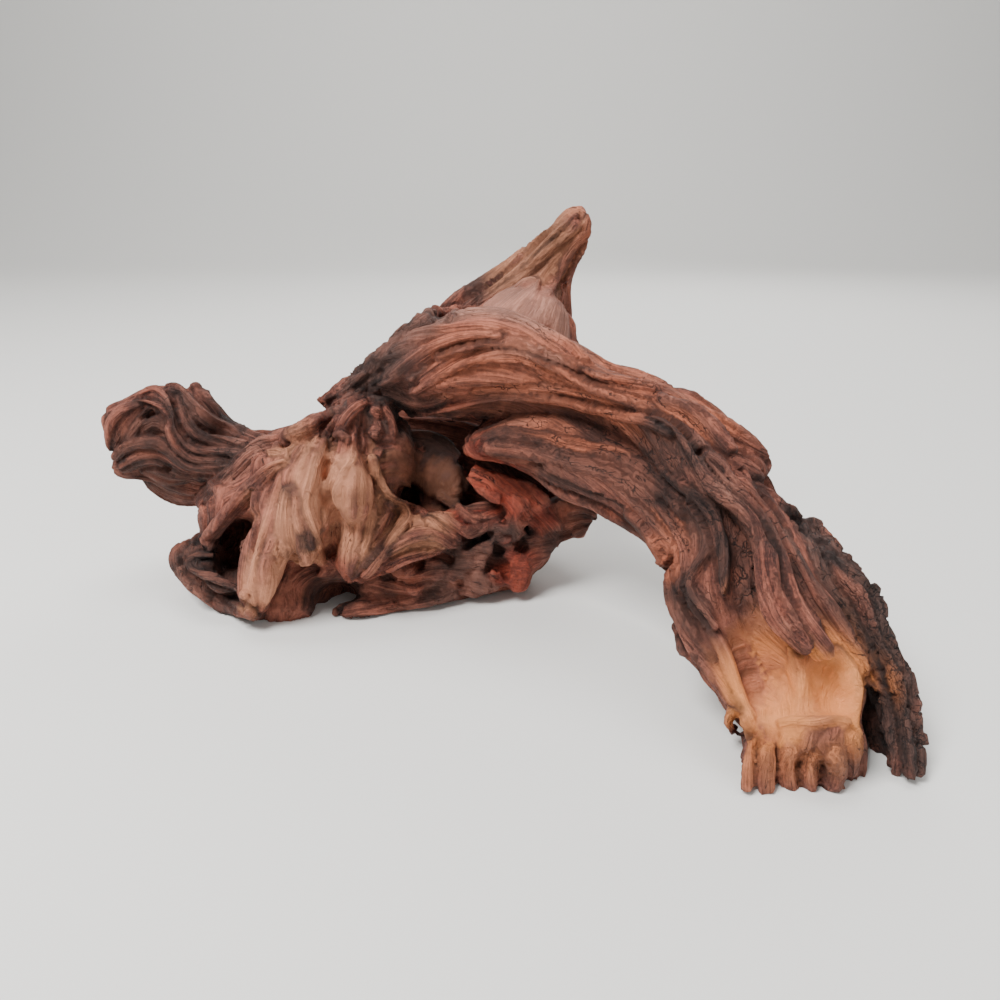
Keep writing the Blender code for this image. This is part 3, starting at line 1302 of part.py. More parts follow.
def build_grain(strand_routes):
    rings = {name: limb_rings(sections) for name, sections in LIMBS.items()}
    every = np.vstack([r.reshape(-1, 3) for r in rings.values()])
    grain = Grain(every.min(axis=0), every.max(axis=0))
    for ring in rings.values():
        centre = ring.mean(axis=1)
        along = np.gradient(centre, axis=0)
        along /= np.linalg.norm(along, axis=1)[:, None]
        for k in range(0, LIMB_SIDES, 2):
            line = ring[:, k]
            out = line - centre
            out /= np.maximum(np.linalg.norm(out, axis=1), 1e-6)[:, None]
            grain.add_ways(line, along + TWIST * np.cross(along, out), 1.0)
    for points, _ in strand_routes:
        grain.add(points, STRAND_SAY)
    grain.settle()
    return grain


def mesh_points(mesh):
    flat = np.empty(len(mesh.vertices) * 3, dtype=np.float32)
    mesh.vertices.foreach_get("co", flat)
    return flat.reshape(-1, 3).astype(float) / MM


def mesh_normals(mesh):
    flat = np.empty(len(mesh.vertices) * 3, dtype=np.float32)
    mesh.vertex_normals.foreach_get("vector", flat)
    return flat.reshape(-1, 3).astype(float)


def set_points(mesh, points):
    mesh.vertices.foreach_set("co", (points * MM).astype(np.float32).ravel())
    mesh.update()


def carve(target, fibres):
    """Raise the ridges of the fibres and the blocks of the cracked places, and sink the creases."""
    points = mesh_points(target.data)
    values, crease = fibres.at(points)
    height = -SEAM_DEPTH * crease
    calm = 1 - SMOOTH_SHARE * smoothness(points)
    rough = {name: zone(points, rows) for name, (_, _, rows) in BARK.items()}
    roughest = np.max(list(rough.values()), axis=0)
    for seed, (width, length, tall) in enumerate(RIDGES):
        ridge = np.minimum(np.abs(fibre_noise(values, width, length, seed)), 1.6) - 0.8
        height += tall * ridge * (1 - 0.5 * roughest) * calm
    for name, (size, tall, _) in BARK.items():
        near = np.flatnonzero(rough[name] > 0.01)
        gap, own = blocks(values[near], size, BLOCK_STRETCH, 7)
        edge = np.clip(gap / BLOCK_EDGE, 0, 1)
        height[near] += tall * rough[name][near] * (edge * (0.6 + 0.8 * own) - 0.8)
    set_points(target.data, points + mesh_normals(target.data) * height[:, None])


def largest_piece_only(target):
    """Drop loose scraps, so that the wood is one body."""
    shape = bmesh.new()
    shape.from_mesh(target.data)
    left = set(shape.verts)
    pieces = []
    while left:
        stack = [left.pop()]
        piece = []
        while stack:
            v = stack.pop()
            piece.append(v)
            for e in v.link_edges:
                o = e.other_vert(v)
                if o in left:
                    left.remove(o)
                    stack.append(o)
        pieces.append(piece)
    pieces.sort(key=len)
    for piece in pieces[:-1]:
        bmesh.ops.delete(shape, geom=piece, context="VERTS")
    shape.to_mesh(target.data)
    shape.free()


def thin_out(target, triangles):
    count = sum(len(p.vertices) - 2 for p in target.data.polygons)
    decimate = target.modifiers.new("thin_out", "DECIMATE")
    decimate.ratio = triangles / count
    decimate.use_collapse_triangulate = True
    apply_modifiers(target)


def stand_on_ground(target):
    """Cut the wood off flat at z = 0 and close the cuts."""
    shape = bmesh.new()
    shape.from_mesh(target.data)
    every = [*shape.verts, *shape.edges, *shape.faces]
    bmesh.ops.bisect_plane(
        shape, geom=every, dist=1e-7, plane_co=(0, 0, 0), plane_no=(0, 0, 1), clear_inner=True
    )
    rims = [e for e in shape.edges if e.is_boundary]
    soles = bmesh.ops.holes_fill(shape, edges=rims)["faces"]
    bmesh.ops.triangulate(shape, faces=soles)
    shape.to_mesh(target.data)
    shape.free()


def build_wood(collection, voxel):
    """The fused wood with its strands, hollows and ridges, before it is thinned out."""
    wood = build_limbs(collection)
    fuse(wood, voxel)
    smooth(wood, 3)
    skin = skin_of(wood)
    low, high = [], []
    for name, rows in STRANDS.items():
        if name.startswith(LOW_STRANDS):
            low.append(drape(rows, skin, LOW_SINK))
        else:
            high.append(drape(rows, skin, STRAND_SINK, LIFTS.get(name, (0, 0))))
    grain = build_grain(low + high)
    high += wild_routes(wood, skin, grain, low + high)
    strand_routes = low + high
    press_beds(wood, high)
    press_in(wood, dent_routes(skin) + hollow_routes())
    join(wood, build_tubes("strands", strand_routes, collection))
    join(wood, build_plates(collection))
    join(wood, build_crumbs(skin, collection))
    fuse(wood, voxel)
    smooth(wood, 1)
    press_in(wood, slit_routes(skin_of(wood)))
    fuse(wood, voxel)
    smooth(wood, 1)
    largest_piece_only(wood)
    fibres = Fibres(strand_routes)
    carve(wood, fibres)
    return wood, fibres


def wood_material():
    material = bpy.data.materials.new("wood")
    material.use_nodes = True
    shader = material.node_tree.nodes["Principled BSDF"]
    shader.inputs["Base Color"].default_value = WOOD_COLOUR
    shader.inputs["Roughness"].default_value = WOOD_ROUGHNESS
    shader.inputs["Metallic"].default_value = 0.0
    return material


def main():
    for old in list(bpy.data.objects):
        bpy.data.objects.remove(old)
    collection = bpy.data.collections.new("driftwood_sculpture")
    bpy.context.scene.collection.children.link(collection)
    wood, _ = build_wood(collection, VOXEL)
    thin_out(wood, TRIANGLES)
    stand_on_ground(wood)
    largest_piece_only(wood)
    wood.name = "driftwood"
    wood.data.name = "driftwood"
    set_points(wood.data, mesh_points(wood.data) - ORIGIN)
    wood.data.materials.clear()
    wood.data.materials.append(wood_material())


if __name__ == "__main__":
    main()
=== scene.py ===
"""The looks of a driftwood sculpture: the whole wood in finer detail, with its grain, cracks and colours."""

import math

import bmesh
import bpy
import numpy as np
from mathutils import Euler, Matrix, Vector
from mathutils.bvhtree import BVHTree
from mathutils.kdtree import KDTree


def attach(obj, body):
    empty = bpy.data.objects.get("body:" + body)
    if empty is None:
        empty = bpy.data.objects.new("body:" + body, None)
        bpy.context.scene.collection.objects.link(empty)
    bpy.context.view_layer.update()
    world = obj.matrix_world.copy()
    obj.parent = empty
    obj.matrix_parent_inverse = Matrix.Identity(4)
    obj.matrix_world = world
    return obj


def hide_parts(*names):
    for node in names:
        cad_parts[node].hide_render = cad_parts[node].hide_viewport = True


MM = 0.001

# The wood is laid out in mm from an eye 200 mm above the table: x to the right, y away from the eye, z up.
# A traced point is (a, b): mm to the right and up on a sight plane 780 mm in front of the tilted eye.
EYE = np.array([0.0, 0.0, 200.0])
EYE_TILT = math.radians(22.4)
SIGHT_PLANE = 780.0

# The middle of the wood's footprint box, which is the part's origin.
ORIGIN = np.array([-21.2, 323.5, 0.0])

# Each limb is a list of sections: one edge (a, b, y), the other edge (a, b, y), half its depth in mm.
LIMBS = {
    "arch": [
        ((-160, 111, 372), (-139, 100, 366), 8),
        ((-128, 128, 376), (-112, 100, 362), 18),
        ((-90, 154, 378), (-78, 90, 356), 26),
        ((-45, 170, 378), (-42, 88, 350), 32),
        ((5, 164, 374), (4, 98, 344), 33),
        ((58, 140, 358), (56, 92, 338), 31),
        ((108, 121, 343), (100, 78, 329), 29),
        ((160, 109, 325), (140, 52, 312), 28),
        ((214, 80, 307), (174, 8, 296), 25),
        ((260, 12, 290), (184, -42, 282), 24),
    ],
    "under_arch": [
        ((-18, 72, 350), (-12, 46, 350), 14),
        ((14, 86, 352), (12, 38, 350), 21),
        ((52, 90, 354), (46, 22, 348), 26),
        ((100, 84, 344), (76, 4, 340), 29),
        ((145, 62, 328), (104, -5, 330), 28),
        ((196, 36, 308), (148, -36, 306), 26),
        ((240, -10, 290), (168, -68, 288), 24),
    ],
    "leg": [
        ((256, 30, 292), (179, -50, 286), 24),
        ((280, -8, 284), (169, -92, 272), 23),
        ((312, -50, 270), (179, -128, 260), 20),
        ((338, -100, 258), (207, -164, 249), 16),
        ((356, -150, 249), (231, -196, 239), 12),
        ((358, -195, 240), (246, -226, 231), 11),
        ((356, -232, 231), (254, -244, 226), 11),
    ],
    "foot": [
        ((358, -221, 229), (264, -224, 229), 13),
        ((362, -246, 233), (245, -246, 231), 17),
        ((361, -268, 236), (242, -268, 231), 17),
        ((356, -290, 238), (242, -290, 231), 17),
    ],
    "fin": [
        ((284, -32, 284), (312, -46, 284), 12),
        ((304, -84, 270), (354, -78, 270), 16),
        ((335, -125, 258), (378, -122, 258), 16),
        ((358, -165, 248), (396, -166, 248), 13),
        ((376, -205, 240), (411, -208, 240), 10),
        ((386, -240, 229), (416, -244, 229), 6),
        ((390, -266, 222), (416, -270, 222), 5),
    ],
    "fin_web": [
        ((348, -160, 258), (388, -160, 258), 7),
        ((356, -205, 248), (396, -208, 248), 6),
        ((366, -236, 240), (394, -240, 240), 4),
        ((383, -262, 232), (394, -264, 232), 3),
    ],
    "mound": [
        ((-45, 150, 374), (72, 128, 374), 31),
        ((-28, 178, 378), (73, 153, 378), 29),
        ((-8, 195, 382), (70, 174, 382), 24),
        ((12, 204, 386), (55, 193, 386), 15),
    ],
    "horn": [
        ((-80, 170, 404), (75, 148, 402), 21),
        ((-44, 198, 402), (71, 181, 400), 18),
        ((-6, 226, 399), (69, 206, 398), 14),
        ((25, 253, 396), (75, 228, 395), 11),
        ((45, 273, 392), (87, 250, 392), 8),
        ((61, 286, 390), (94, 270, 390), 6),
        ((72, 288, 389), (93, 281, 389), 4),
    ],
    "fan": [
        ((-166, 94, 360), (-112, 92, 352), 9),
        ((-186, 78, 368), (-92, 58, 352), 20),
        ((-226, 58, 376), (-90, 20, 352), 28),
        ((-262, 28, 378), (-84, -15, 352), 33),
        ((-292, -6, 374), (-78, -45, 350), 33),
        ((-286, -40, 368), (-86, -68, 350), 30),
        ((-286, -72, 359), (-120, -82, 346), 20),
        ((-276, -91, 350), (-176, -90, 341), 13),
        ((-250, -113, 335), (-187, -111, 333), 8),
    ],
    "basin": [
        ((-312, -56, 364), (-268, -55, 364), 13),
        ((-321, -68, 358), (-240, -66, 355), 20),
        ((-308, -84, 350), (-222, -88, 347), 20),
        ((-286, -101, 344), (-206, -106, 341), 14),
        ((-262, -115, 336), (-196, -116, 333), 9),
    ],
    "bowl": [
        ((-118, 6, 366), (-138, -104, 345), 13),
        ((-70, 0, 371), (-90, -104, 345), 17),
        ((-22, -2, 378), (-26, -97, 356), 17),
        ((20, -4, 378), (18, -87, 360), 17),
        ((47, 0, 376), (37, -59, 364), 18),
        ((84, -2, 374), (76, -30, 368), 10),
    ],
    "arm": [
        ((-190, 74, 382), (-206, 10, 382), 24),
        ((-230, 67, 384), (-250, 14, 384), 20),
        ((-270, 72, 386), (-284, 18, 386), 17),
        ((-292, 100, 386), (-304, 22, 386), 16),
        ((-318, 112, 384), (-332, 18, 384), 14),
        ((-352, 110, 381), (-357, 26, 381), 11),
        ((-373, 101, 378), (-379, 29, 378), 7),
        ((-391, 91, 376), (-388, 55, 376), 4),
    ],
    "leaf": [
        ((-355, 32, 394), (-355, 24, 394), 5),
        ((-345, 38, 394), (-342, 10, 394), 9),
        ((-324, 40, 394), (-321, -1, 394), 11),
        ((-300, 40, 394), (-298, -3, 394), 12),
        ((-270, 40, 392), (-272, -8, 392), 13),
        ((-230, 40, 388), (-228, 0, 388), 14),
    ],
    "slab": [
        ((-31, 25, 358), (-31, 20, 357), 3),
        ((-20, 31, 358), (-20, 12, 355), 4),
        ((-2, 25, 358), (-8, 2, 354), 5),
        ((20, 17, 357), (10, -10, 352), 6),
        ((36, 8, 356), (26, -24, 352), 6),
        ((46, -6, 357), (40, -32, 353), 5),
        ((58, -16, 359), (51, -35, 356), 4),
    ],
    "cavity_back": [
        ((-292, -4, 388), (-232, -2, 396), 8),
        ((-295, -34, 380), (-232, -34, 390), 10),
        ((-298, -62, 370), (-234, -64, 380), 10),
    ],
    "front": [
        ((-244, 34, 344), (-200, 50, 340), 7),
        ((-244, 8, 336), (-192, 12, 331), 9),
        ((-246, -22, 331), (-196, -18, 326), 10),
        ((-252, -56, 327), (-206, -48, 322), 10),
        ((-256, -88, 324), (-222, -78, 321), 8),
        ((-252, -112, 323), (-237, -104, 321), 5),
    ],
    "tongue": [
        ((-206, 64, 350), (-176, 72, 348), 6),
        ((-212, 36, 340), (-174, 44, 336), 8),
        ((-214, 8, 331), (-174, 14, 328), 9),
        ((-214, -22, 325), (-176, -16, 324), 9),
        ((-208, -46, 321), (-178, -40, 322), 7),
        ((-200, -61, 321), (-185, -57, 322), 4),
    ],
    "lobe": [
        ((-156, 98, 352), (-138, 96, 350), 5),
        ((-160, 78, 345), (-144, 76, 342), 6),
        ((-163, 54, 338), (-142, 52, 335), 7),
        ((-166, 28, 331), (-134, 30, 328), 8),
        ((-168, 9, 326), (-128, 10, 324), 9),
        ((-163, -7, 324), (-131, -8, 323), 8),
        ((-154, -14, 325), (-139, -14, 324), 5),
    ],
    "hang": [
        ((-158, 2, 341), (-104, 8, 343), 10),
        ((-159, -26, 338), (-108, -16, 336), 11),
        ((-161, -50, 334), (-120, -44, 331), 10),
        ((-161, -67, 330), (-136, -65, 328), 8),
        ((-157, -77, 329), (-145, -77, 328), 4),
    ],
    "sill": [
        ((-152, -60, 331), (-147, -79, 330), 6),
        ((-124, -32, 336), (-124, -73, 330), 9),
        ((-88, -16, 345), (-92, -61, 334), 10),
        ((-54, -10, 350), (-60, -50, 340), 9),
        ((-24, -5, 355), (-28, -36, 346), 7),
        ((4, -4, 358), (0, -22, 352), 4),
    ],
    "bowl_back": [
        ((-122, 90, 398), (-130, -30, 380), 15),
        ((-72, 88, 403), (-84, -30, 388), 15),
        ((-22, 88, 405), (-24, -30, 390), 17),
        ((26, 70, 401), (24, -30, 388), 18),
        ((66, 36, 389), (54, -30, 377), 14),
    ],
    "dish": [
        ((-128, 62, 358), (-122, -2, 350), 7),
        ((-100, 66, 372), (-96, 2, 362), 7),
        ((-70, 62, 375), (-68, -2, 364), 7),
        ((-44, 46, 368), (-42, -6, 358), 6),
    ],
    "low_splinter": [
        ((-161, -109, 337), (-160, -116, 334), 3),
        ((-142, -98, 340), (-140, -119, 333), 6),
        ((-110, -92, 344), (-108, -110, 344), 8),
        ((-70, -88, 346), (-68, -103, 346), 8),
        ((-45, -84, 348), (-44, -97, 348), 6),
    ],
    "splinter": [
        ((-180, 98, 373), (-179, 95, 373), 2),
        ((-167, 107, 373), (-164, 97, 371), 5),
        ((-148, 121, 374), (-146, 101, 371), 9),
        ((-129, 134, 376), (-126, 102, 369), 14),
    ],
    "fold": [
        ((180, 88, 302), (160, 70, 299), 6),
        ((206, 64, 297), (182, 46, 294), 8),
        ((229, 34, 290), (204, 20, 286), 9),
        ((250, 4, 284), (226, -8, 279), 10),
        ((271, -30, 276), (247, -38, 270), 10),
        ((289, -66, 267), (262, -68, 261), 10),
        ((302, -100, 258), (268, -100, 251), 10),
        ((317, -128, 249), (280, -132, 242), 9),
        ((324, -148, 242), (297, -152, 236), 6),
    ],
    "inner_ridge": [
        ((184, -56, 274), (173, -66, 271), 6),
        ((194, -98, 263), (178, -106, 259), 8),
        ((214, -138, 253), (194, -148, 248), 9),
        ((236, -172, 243), (217, -182, 239), 9),
        ((256, -204, 234), (237, -211, 230), 8),
    ],
    "right_facet": [
        ((352, -128, 253), (306, -140, 247), 9),
        ((363, -165, 246), (305, -170, 239), 10),
        ((363, -200, 238), (304, -205, 232), 9),
        ((358, -224, 231), (298, -226, 227), 7),
    ],
    "shoulder": [
        ((196, 98, 304), (190, 62, 300), 7),
        ((223, 77, 300), (220, 44, 294), 9),
        ((247, 56, 296), (243, 26, 290), 8),
        ((259, 46, 294), (256, 22, 290), 5),
    ],
    "foot_ledge": [
        ((360, -223, 222), (284, -226, 222), 7),
        ((362, -234, 221), (280, -236, 221), 8),
        ((361, -250, 222), (278, -252, 222), 7),
    ],
    "heel": [
        ((-150, 40, 400), (-10, 40, 400), 30),
        ((-142, 8, 410), (-30, 8, 410), 25),
        ((-118, -12, 418), (-56, -12, 418), 16),
        ((-102, -36, 426), (-72, -36, 426), 9),
    ],
}
LIMB_SIDES = 32
LIMB_STEPS = 5
# How a limb's end closes: (distance out, size), in parts of its half depth and of its last section.
ROUND_END = ((0.45, 0.9), (0.8, 0.62), (0.97, 0.3))
END_REACH = 0.6

# Strands lie on the limbs as the eye sees them. Each point is (a, b, radius), all on the sight plane.
STRANDS = {
    "arm_tab_left": [(-304, 114, 6), (-297, 104, 6), (-289, 92, 6), (-277, 79, 5), (-255, 68, 5)],
    "arm_tab_right": [
        (-294, 111, 4), (-290, 100, 4), (-284, 88, 4), (-276, 78, 4), (-264, 72, 4), (-248, 65, 4.5),
        (-225, 58, 5),
    ],
    "arm_ridge_1": [
        (-334, 114, 4), (-325, 114, 5), (-316, 107, 6), (-309, 95, 6), (-300, 86, 6), (-290, 79, 5),
        (-276, 73, 5), (-258, 66, 5), (-235, 58, 5),
    ],
    "arm_ridge_2": [
        (-321, 106, 4), (-316, 92, 5), (-312, 78, 6), (-303, 67, 6), (-291, 61, 6), (-274, 58, 6),
        (-252, 54, 6),
    ],
    "arm_ridge_3": [
        (-370, 97, 3), (-356, 108, 4), (-343, 110, 5), (-333, 99, 5), (-327, 86, 5), (-323, 72, 5),
        (-317, 60, 5), (-306, 52, 5), (-291, 49, 5), (-272, 48, 5), (-250, 46, 5),
    ],
    "arm_ridge_4": [
        (-371, 96, 3), (-357, 99, 4), (-346, 95, 4), (-337, 88, 4), (-332, 79, 4), (-330, 69, 5),
        (-325, 58, 5),
        (-317, 50, 5), (-307, 43, 5), (-294, 40, 5), (-275, 39, 5),
    ],
    "arm_flap_1": [
        (-357, 99, 4), (-368, 95, 6), (-380, 89, 7), (-388, 78, 7), (-390, 64, 6), (-391, 53, 4),
        (-392, 48, 2),
    ],
    "arm_flap_2": [
        (-352, 96, 4), (-364, 88, 6), (-374, 76, 7), (-380, 65, 7), (-384, 58, 5), (-388, 52, 3),
    ],
    "arm_flap_3": [(-346, 92, 4), (-356, 84, 5), (-364, 73, 5), (-371, 64, 5), (-377, 59, 4)],
    "arm_eye": [(-366, 67, 3), (-357, 74, 4), (-348, 79, 4), (-339, 77, 4), (-334, 71, 3)],
    "arm_lip_1": [
        (-384, 41, 4), (-375, 50, 4.5), (-363, 55, 5), (-345, 56, 6), (-334, 49, 5), (-326, 42, 5),
        (-318, 36, 5),
        (-303, 32, 5), (-283, 33, 5), (-262, 34, 5),
    ],
    "arm_lip_2": [
        (-380, 36, 5), (-363, 43, 6), (-344, 45, 5), (-333, 40, 5), (-325, 34, 4), (-314, 29, 4),
        (-296, 27, 4), (-272, 28, 5),
    ],
    "arm_lip_3": [(-384, 37, 4), (-378, 30, 5), (-369, 32, 5), (-360, 35, 5), (-346, 38, 5), (-335, 33, 4)],
    "fan_back_ridge": [
        (-158, 90, 6), (-180, 79, 8), (-200, 67, 9), (-217, 59, 9), (-233, 54, 9), (-247, 45, 9),
        (-258, 34, 9),
        (-269, 23, 9), (-281, 13, 8), (-292, 5, 7), (-300, -3, 5),
    ],
    "fan_post_1": [(-291, 6, 6), (-290, -8, 5), (-289, -24, 5), (-290, -38, 4)],
    "fan_post_2": [(-279, 12, 5), (-280, -4, 5), (-282, -20, 5), (-286, -35, 4)],
    "fan_knobs": [
        (-213, 38, 5), (-226, 34, 6), (-238, 26, 7), (-248, 13, 7), (-257, 1, 7), (-266, -9, 6),
        (-275, -19, 6),
        (-284, -30, 6), (-291, -41, 6), (-290, -49, 4),
    ],
    "basin_rim": [
        (-285, -54, 4), (-293, -53, 5), (-305, -56, 5), (-312, -62, 5), (-306, -69, 5), (-294, -75, 5),
        (-281, -82, 5), (-268, -88, 5), (-256, -96, 5),
    ],
    "basin_wall": [
        (-318, -64, 6), (-312, -79, 7), (-297, -91, 7), (-278, -102, 7), (-258, -109, 7), (-240, -113, 6),
    ],
    "front_left": [
        (-215, 29, 5), (-222, 9, 5), (-227, -11, 5), (-236, -37, 5), (-244, -64, 5), (-250, -88, 4),
        (-246, -106, 3),
    ],
    "front_middle": [(-228, -40, 6), (-234, -60, 8), (-232, -78, 9), (-235, -94, 8), (-239, -108, 5)],
    "front_right": [(-209, 10, 7), (-211, -6, 9), (-212, -20, 10), (-211, -35, 10), (-207, -50, 8)],
    "front_edge": [(-206, -62, 4), (-212, -74, 5), (-220, -88, 5), (-228, -104, 5), (-234, -116, 4)],
    "tongue_left": [
        (-199, 49, 5), (-208, 32, 6), (-211, 16, 6), (-203, 0, 6), (-202, -15, 6), (-196, -32, 6),
        (-193, -48, 5),
    ],
    "tongue_middle": [
        (-173, 58, 5), (-179, 47, 7), (-186, 32, 8), (-190, 16, 9), (-193, -2, 8), (-188, -20, 8),
        (-180, -36, 6),
    ],
    "tongue_right": [(-164, 36, 4), (-167, 18, 6), (-173, 0, 7), (-177, -18, 7), (-180, -34, 5)],
    "knot_ring": [(-153, 66, 4), (-160, 69, 4), (-168, 63, 4), (-170, 52, 4), (-166, 42, 4), (-160, 38, 3)],
    "apex": [(-134, 99, 5), (-146, 93, 6), (-156, 83, 6), (-163, 72, 6), (-172, 62, 5)],
    "hang_left": [(-154, -13, 4), (-151, -26, 4), (-151, -40, 4), (-154, -58, 4), (-153, -75, 4)],
    "hang_middle": [
        (-112, -4, 4), (-100, -6, 4), (-99, -18, 4), (-108, -27, 4.5), (-119, -38, 4.5), (-131, -55, 4.5),
        (-144, -72, 4),
    ],
    "hang_right": [(-136, -10, 4), (-141, -26, 4), (-143, -44, 4), (-146, -60, 4), (-150, -75, 3)],
    "hub": [(-127, -8, 4), (-130, -24, 4), (-135, -42, 4), (-141, -58, 4), (-148, -74, 3)],
    "hole_rim": [
        (-128, 46, 4), (-123, 30, 5), (-116, 12, 5), (-106, 0, 5), (-97, -5, 5), (-94, -16, 5),
        (-101, -29, 5), (-114, -48, 5), (-130, -68, 5), (-142, -79, 4),
    ],
    "web": [(-97, -2, 5), (-86, -7, 5), (-74, -14, 5), (-64, -24, 5), (-52, -32, 4), (-38, -38, 4)],
    "sill_1": [
        (-133, -66, 4), (-115, -50, 5), (-97, -40, 5), (-80, -35, 5), (-64, -36, 5), (-44, -43, 5),
        (-18, -31, 5), (6, -10, 4),
    ],
    "sill_2": [
        (-142, -80, 4), (-118, -71, 5), (-98, -60, 5), (-78, -54, 5), (-58, -50, 5), (-40, -50, 5),
        (-20, -38, 4), (5, -18, 4),
    ],
    "sill_3": [(-120, -60, 3), (-102, -48, 4), (-84, -43, 4), (-66, -42, 4), (-50, -46, 4)],
    "ridge_1": [(-62, 5, 4), (-50, -2, 4), (-38, -10, 5), (-27, -18, 4), (-14, -16, 4), (1, -10, 4)],
    "ridge_2": [(-72, -14, 4), (-58, -18, 5), (-46, -26, 5), (-33, -32, 5), (-20, -28, 5), (-5, -20, 4)],
    "curl_1": [(-119, 33, 2.2), (-108, 37, 2.2), (-97, 34, 2.2), (-86, 24, 2.2)],
    "curl_2": [(-116, 45, 2.2), (-104, 47, 2.2), (-92, 42, 2.2), (-82, 32, 2.2)],
    "curl_3": [(-60, 42, 2.4), (-70, 37, 2.4), (-77, 26, 2.4), (-78, 12, 2.4), (-74, 0, 2.4)],
    "curl_4": [(-48, 42, 2.6), (-59, 30, 2.6), (-64, 16, 2.6), (-62, 2, 2.6)],
    "curl_5": [(-121, 53, 2), (-108, 55, 2), (-95, 50, 2), (-84, 40, 2)],
    "curl_6": [(-121, 26, 2), (-108, 28, 2), (-96, 25, 2), (-85, 19, 2)],
    "curl_7": [(-120, 18, 2), (-107, 20, 2), (-96, 17, 2), (-88, 12, 2)],
    "curl_8": [(-36, 34, 2.6), (-46, 20, 2.6), (-51, 6, 2.6), (-48, -6, 2.6)],
    "curl_9": [(-68, 52, 2), (-74, 40, 2), (-77, 30, 2)],
    "knot_top": [(-127, 90, 5), (-119, 87, 5)],
    "knot_middle": [(-128, 68, 5), (-121, 66, 5)],
    "knot_low": [(-123, 48, 6), (-117, 46, 5)],
    "knot_side": [(-112, 90, 4), (-107, 78, 4), (-106, 64, 4)],
    "bottom_splinter": [
        (-158, -113, 4), (-142, -110, 5), (-124, -109, 6), (-104, -106, 6), (-84, -103, 6), (-64, -99, 5),
        (-48, -94, 4),
    ],
    "splinter_tip": [(-176, 96, 2), (-166, 100, 4), (-152, 106, 5), (-136, 114, 6), (-120, 122, 6)],
    "splinter_top": [(-174, 99, 2), (-163, 106, 4), (-149, 115, 5), (-137, 125, 5), (-127, 134, 6)],
    "bark_top": [
        (-133, 134, 5), (-122, 144, 6), (-109, 155, 7), (-97, 167, 7), (-84, 177, 7), (-70, 184, 7),
        (-54, 188, 6), (-40, 192, 5),
    ],
    "bark_middle": [
        (-130, 113, 6), (-112, 122, 7), (-96, 134, 7), (-78, 146, 7), (-60, 154, 7), (-40, 160, 6),
        (-20, 163, 5),
        (0, 162, 4),
    ],
    "arch_lobe": [(-118, 112, 5), (-105, 106, 7), (-92, 98, 8), (-78, 95, 8), (-64, 98, 7), (-54, 103, 5)],
    "orange_ridge": [
        (-84, 112, 5), (-72, 122, 6), (-58, 131, 7), (-40, 140, 7), (-20, 145, 7), (0, 147, 7),
        (22, 146, 7),
        (42, 139, 7), (62, 130, 7), (84, 118, 7), (106, 107, 7), (130, 98, 6), (152, 90, 5),
    ],
    "upper_ridge": [
        (-60, 147, 5), (-36, 153, 6), (-10, 157, 6), (16, 156, 6), (40, 150, 6), (62, 141, 5),
        (86, 129, 5), (110, 121, 5), (134, 114, 5),
    ],
    "lip_upper": [(-22, 111, 5), (10, 114, 6), (44, 112, 6), (76, 108, 6), (108, 99, 6), (134, 92, 5)],
    "lip": [
        (-90, 89, 5), (-70, 89, 5), (-48, 93, 5), (-22, 100, 5), (8, 103, 5), (40, 100, 5), (72, 96, 5),
        (104, 89, 5), (130, 84, 5), (150, 79, 5), (168, 69, 5),
    ],
    "under_1": [
        (-13, 62, 4), (4, 68, 5), (28, 66, 5), (56, 60, 5), (84, 54, 5), (114, 46, 5), (140, 34, 5),
        (160, 20, 5),
        (178, 4, 5),
    ],
    "under_2": [
        (-11, 53, 4), (8, 52, 5), (32, 48, 5), (58, 42, 5), (86, 34, 5), (112, 24, 5), (136, 10, 5),
        (156, -6, 5),
        (172, -26, 5),
    ],
    "under_3": [
        (18, 36, 4), (42, 29, 5), (66, 18, 5), (88, 8, 5), (110, -2, 5), (130, -16, 5), (148, -34, 5),
        (160, -52, 5),
    ],
    "horn_left": [
        (-50, 184, 4), (-30, 195, 5), (-8, 210, 5), (13, 226, 5), (31, 243, 5), (47, 258, 5),
        (62, 273, 5), (73, 284, 4), (81, 288, 3),
    ],
    "horn_middle": [
        (-20, 196, 4), (0, 210, 5), (18, 224, 5), (36, 240, 5), (52, 256, 5), (66, 270, 5), (76, 282, 4),
    ],
    "horn_right": [
        (48, 206, 4), (60, 224, 5), (68, 240, 5), (78, 256, 5), (87, 267, 5), (88, 280, 5), (84, 289, 4),
    ],
    "tip_back": [
        (84, 128, 4), (101, 121, 5), (122, 117, 6), (144, 112, 6), (163, 106, 6), (182, 97, 6),
        (201, 86, 7), (219, 76, 7), (235, 66, 7), (248, 56, 7), (258, 48, 6), (264, 43, 4),
    ],
    "tip_middle": [(158, 100, 5), (180, 90, 7), (198, 80, 8), (212, 68, 8), (224, 57, 6), (234, 48, 3)],
    "tip_low": [(232, 46, 4), (244, 37, 6), (254, 28, 6), (261, 21, 4)],
    "tip_side": [(252, 40, 3), (258, 33, 4), (262, 24, 3)],
    "leg_ridge_1": [
        (150, 84, 4), (162, 80, 5), (174, 71, 5), (183, 61, 5), (189, 51, 5), (195, 40, 5), (202, 27, 6),
        (210, 16, 7), (221, 6, 8), (235, -6, 8), (246, -18, 9), (256, -34, 9), (262, -52, 10),
        (266, -74, 11), (270, -96, 12), (278, -114, 13), (290, -130, 12), (302, -144, 9), (310, -153, 5),
    ],
    "leg_ridge_2": [
        (204, 46, 5), (217, 36, 6), (226, 22, 6), (238, 8, 6), (248, -6, 7), (259, -22, 7), (268, -40, 7),
        (277, -60, 8),
        (284, -82, 8), (291, -102, 9), (301, -120, 10), (313, -138, 10), (324, -155, 9),
    ],
    "leg_ridge_3": [
